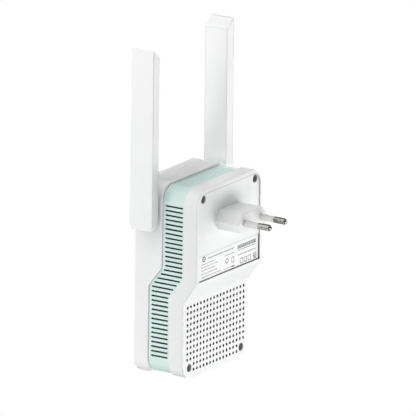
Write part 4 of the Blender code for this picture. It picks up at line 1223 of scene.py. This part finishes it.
def dress_kept_nodes():
    """Gives each node that stays visible the finish with the longest matching name."""
    for name, obj in frame["nodes"].items():
        matches = [key for key in KEPT if name.startswith(key)]
        if matches:
            obj.data.materials.clear()
            obj.data.materials.append(KEPT[max(matches, key=len)])


# ---- studio


def direction(azimuth, elevation):
    """Unit vector from the object; azimuth 0 is in front of it and 90 on its right."""
    turn, rise = math.radians(azimuth), math.radians(elevation)
    return Vector((math.sin(turn) * math.cos(rise), -math.cos(turn) * math.cos(rise), math.sin(rise)))


def build_camera():
    roll = math.radians(VIEW_ROLL)
    back = direction(VIEW_AZIMUTH, VIEW_ELEVATION)
    level = (-back).cross(Vector((0, 0, 1))).normalized()
    upright = level.cross(-back)
    right = math.cos(roll) * level + math.sin(roll) * upright
    up = -math.sin(roll) * level + math.cos(roll) * upright
    camera = bpy.data.objects.new("camera", bpy.data.cameras.new("camera"))
    bpy.context.scene.collection.objects.link(camera)
    camera.data.type = "ORTHO"
    camera.data.ortho_scale = VIEW_WIDTH
    camera.data.clip_start = 0.01
    camera.data.clip_end = 20
    turn = Matrix((right, up, back)).transposed().to_4x4()
    camera.matrix_world = at(*(back * VIEW_DISTANCE + right * VIEW_RIGHT + up * VIEW_UP)) @ turn
    bpy.context.scene.camera = camera


def area_light(name, azimuth, elevation, width, strength):
    """A soft disk that faces the case and that the camera doesn't see."""
    towards = direction(azimuth, elevation)
    data = bpy.data.lights.new(name, "AREA")
    data.shape = "DISK"
    data.size = width
    data.energy = strength * LIGHT_POWER
    light = bpy.data.objects.new(name, data)
    bpy.context.scene.collection.objects.link(light)
    light.location = LIGHT_AIM + towards * LIGHT_DISTANCE
    light.rotation_mode = "QUATERNION"
    light.rotation_quaternion = towards.to_track_quat("Z", "Y")
    light.visible_camera = False


def build_world():
    world = bpy.data.worlds.new("studio")
    bpy.context.scene.world = world
    world.use_nodes = True
    set_inputs(world.node_tree.nodes["Background"], Color=(1, 1, 1, 1), Strength=SURROUND)


def build_floor():
    """A pale floor that curves up into a plain backdrop all round."""
    profile = [(FLOOR_HUB, FLOOR_Z)]
    profile += arc((FLOOR_REACH, FLOOR_Z + FLOOR_BEND), FLOOR_BEND, -90, 0, steps=12)
    profile.append((FLOOR_REACH + FLOOR_BEND, BACKDROP_TOP))
    bm = bmesh.new()
    rings = [[bm.verts.new((x, y, z)) for x, y in circle(0, 0, radius, steps=64)] for radius, z in profile]
    bridge(bm, rings)
    bm.faces.new(rings[0])
    n = Nodes("floor_paint")
    set_inputs(n.shader, Base_Color=(0, 0, 0, 1), Specular_IOR_Level=0, Emission_Strength=1.0)
    paint = n.mix(n.remap(n.noise(3), 0, 1), (0.998, 0.998, 0.998), (1, 1, 1))
    n.link(paint, n.shader.inputs["Emission Color"])
    floor = new_object("studio_floor", bm, n.mat)
    for bounce in ("diffuse", "glossy", "transmission", "shadow"):
        setattr(floor, f"visible_{bounce}", False)


def build_studio():
    bpy.context.scene.view_settings.view_transform = "Standard"
    build_world()
    build_floor()
    for name, settings in LIGHTS.items():
        area_light(name, *settings)


build_camera()
build_studio()
build_rear_shell()
build_middle_band()
build_front_shell()
build_plug()
build_pins()
build_screws()
build_label()
for named_side in SIDES:
    build_antenna(*named_side)
build_front_fittings()
build_socket_contacts()
dress_kept_nodes()
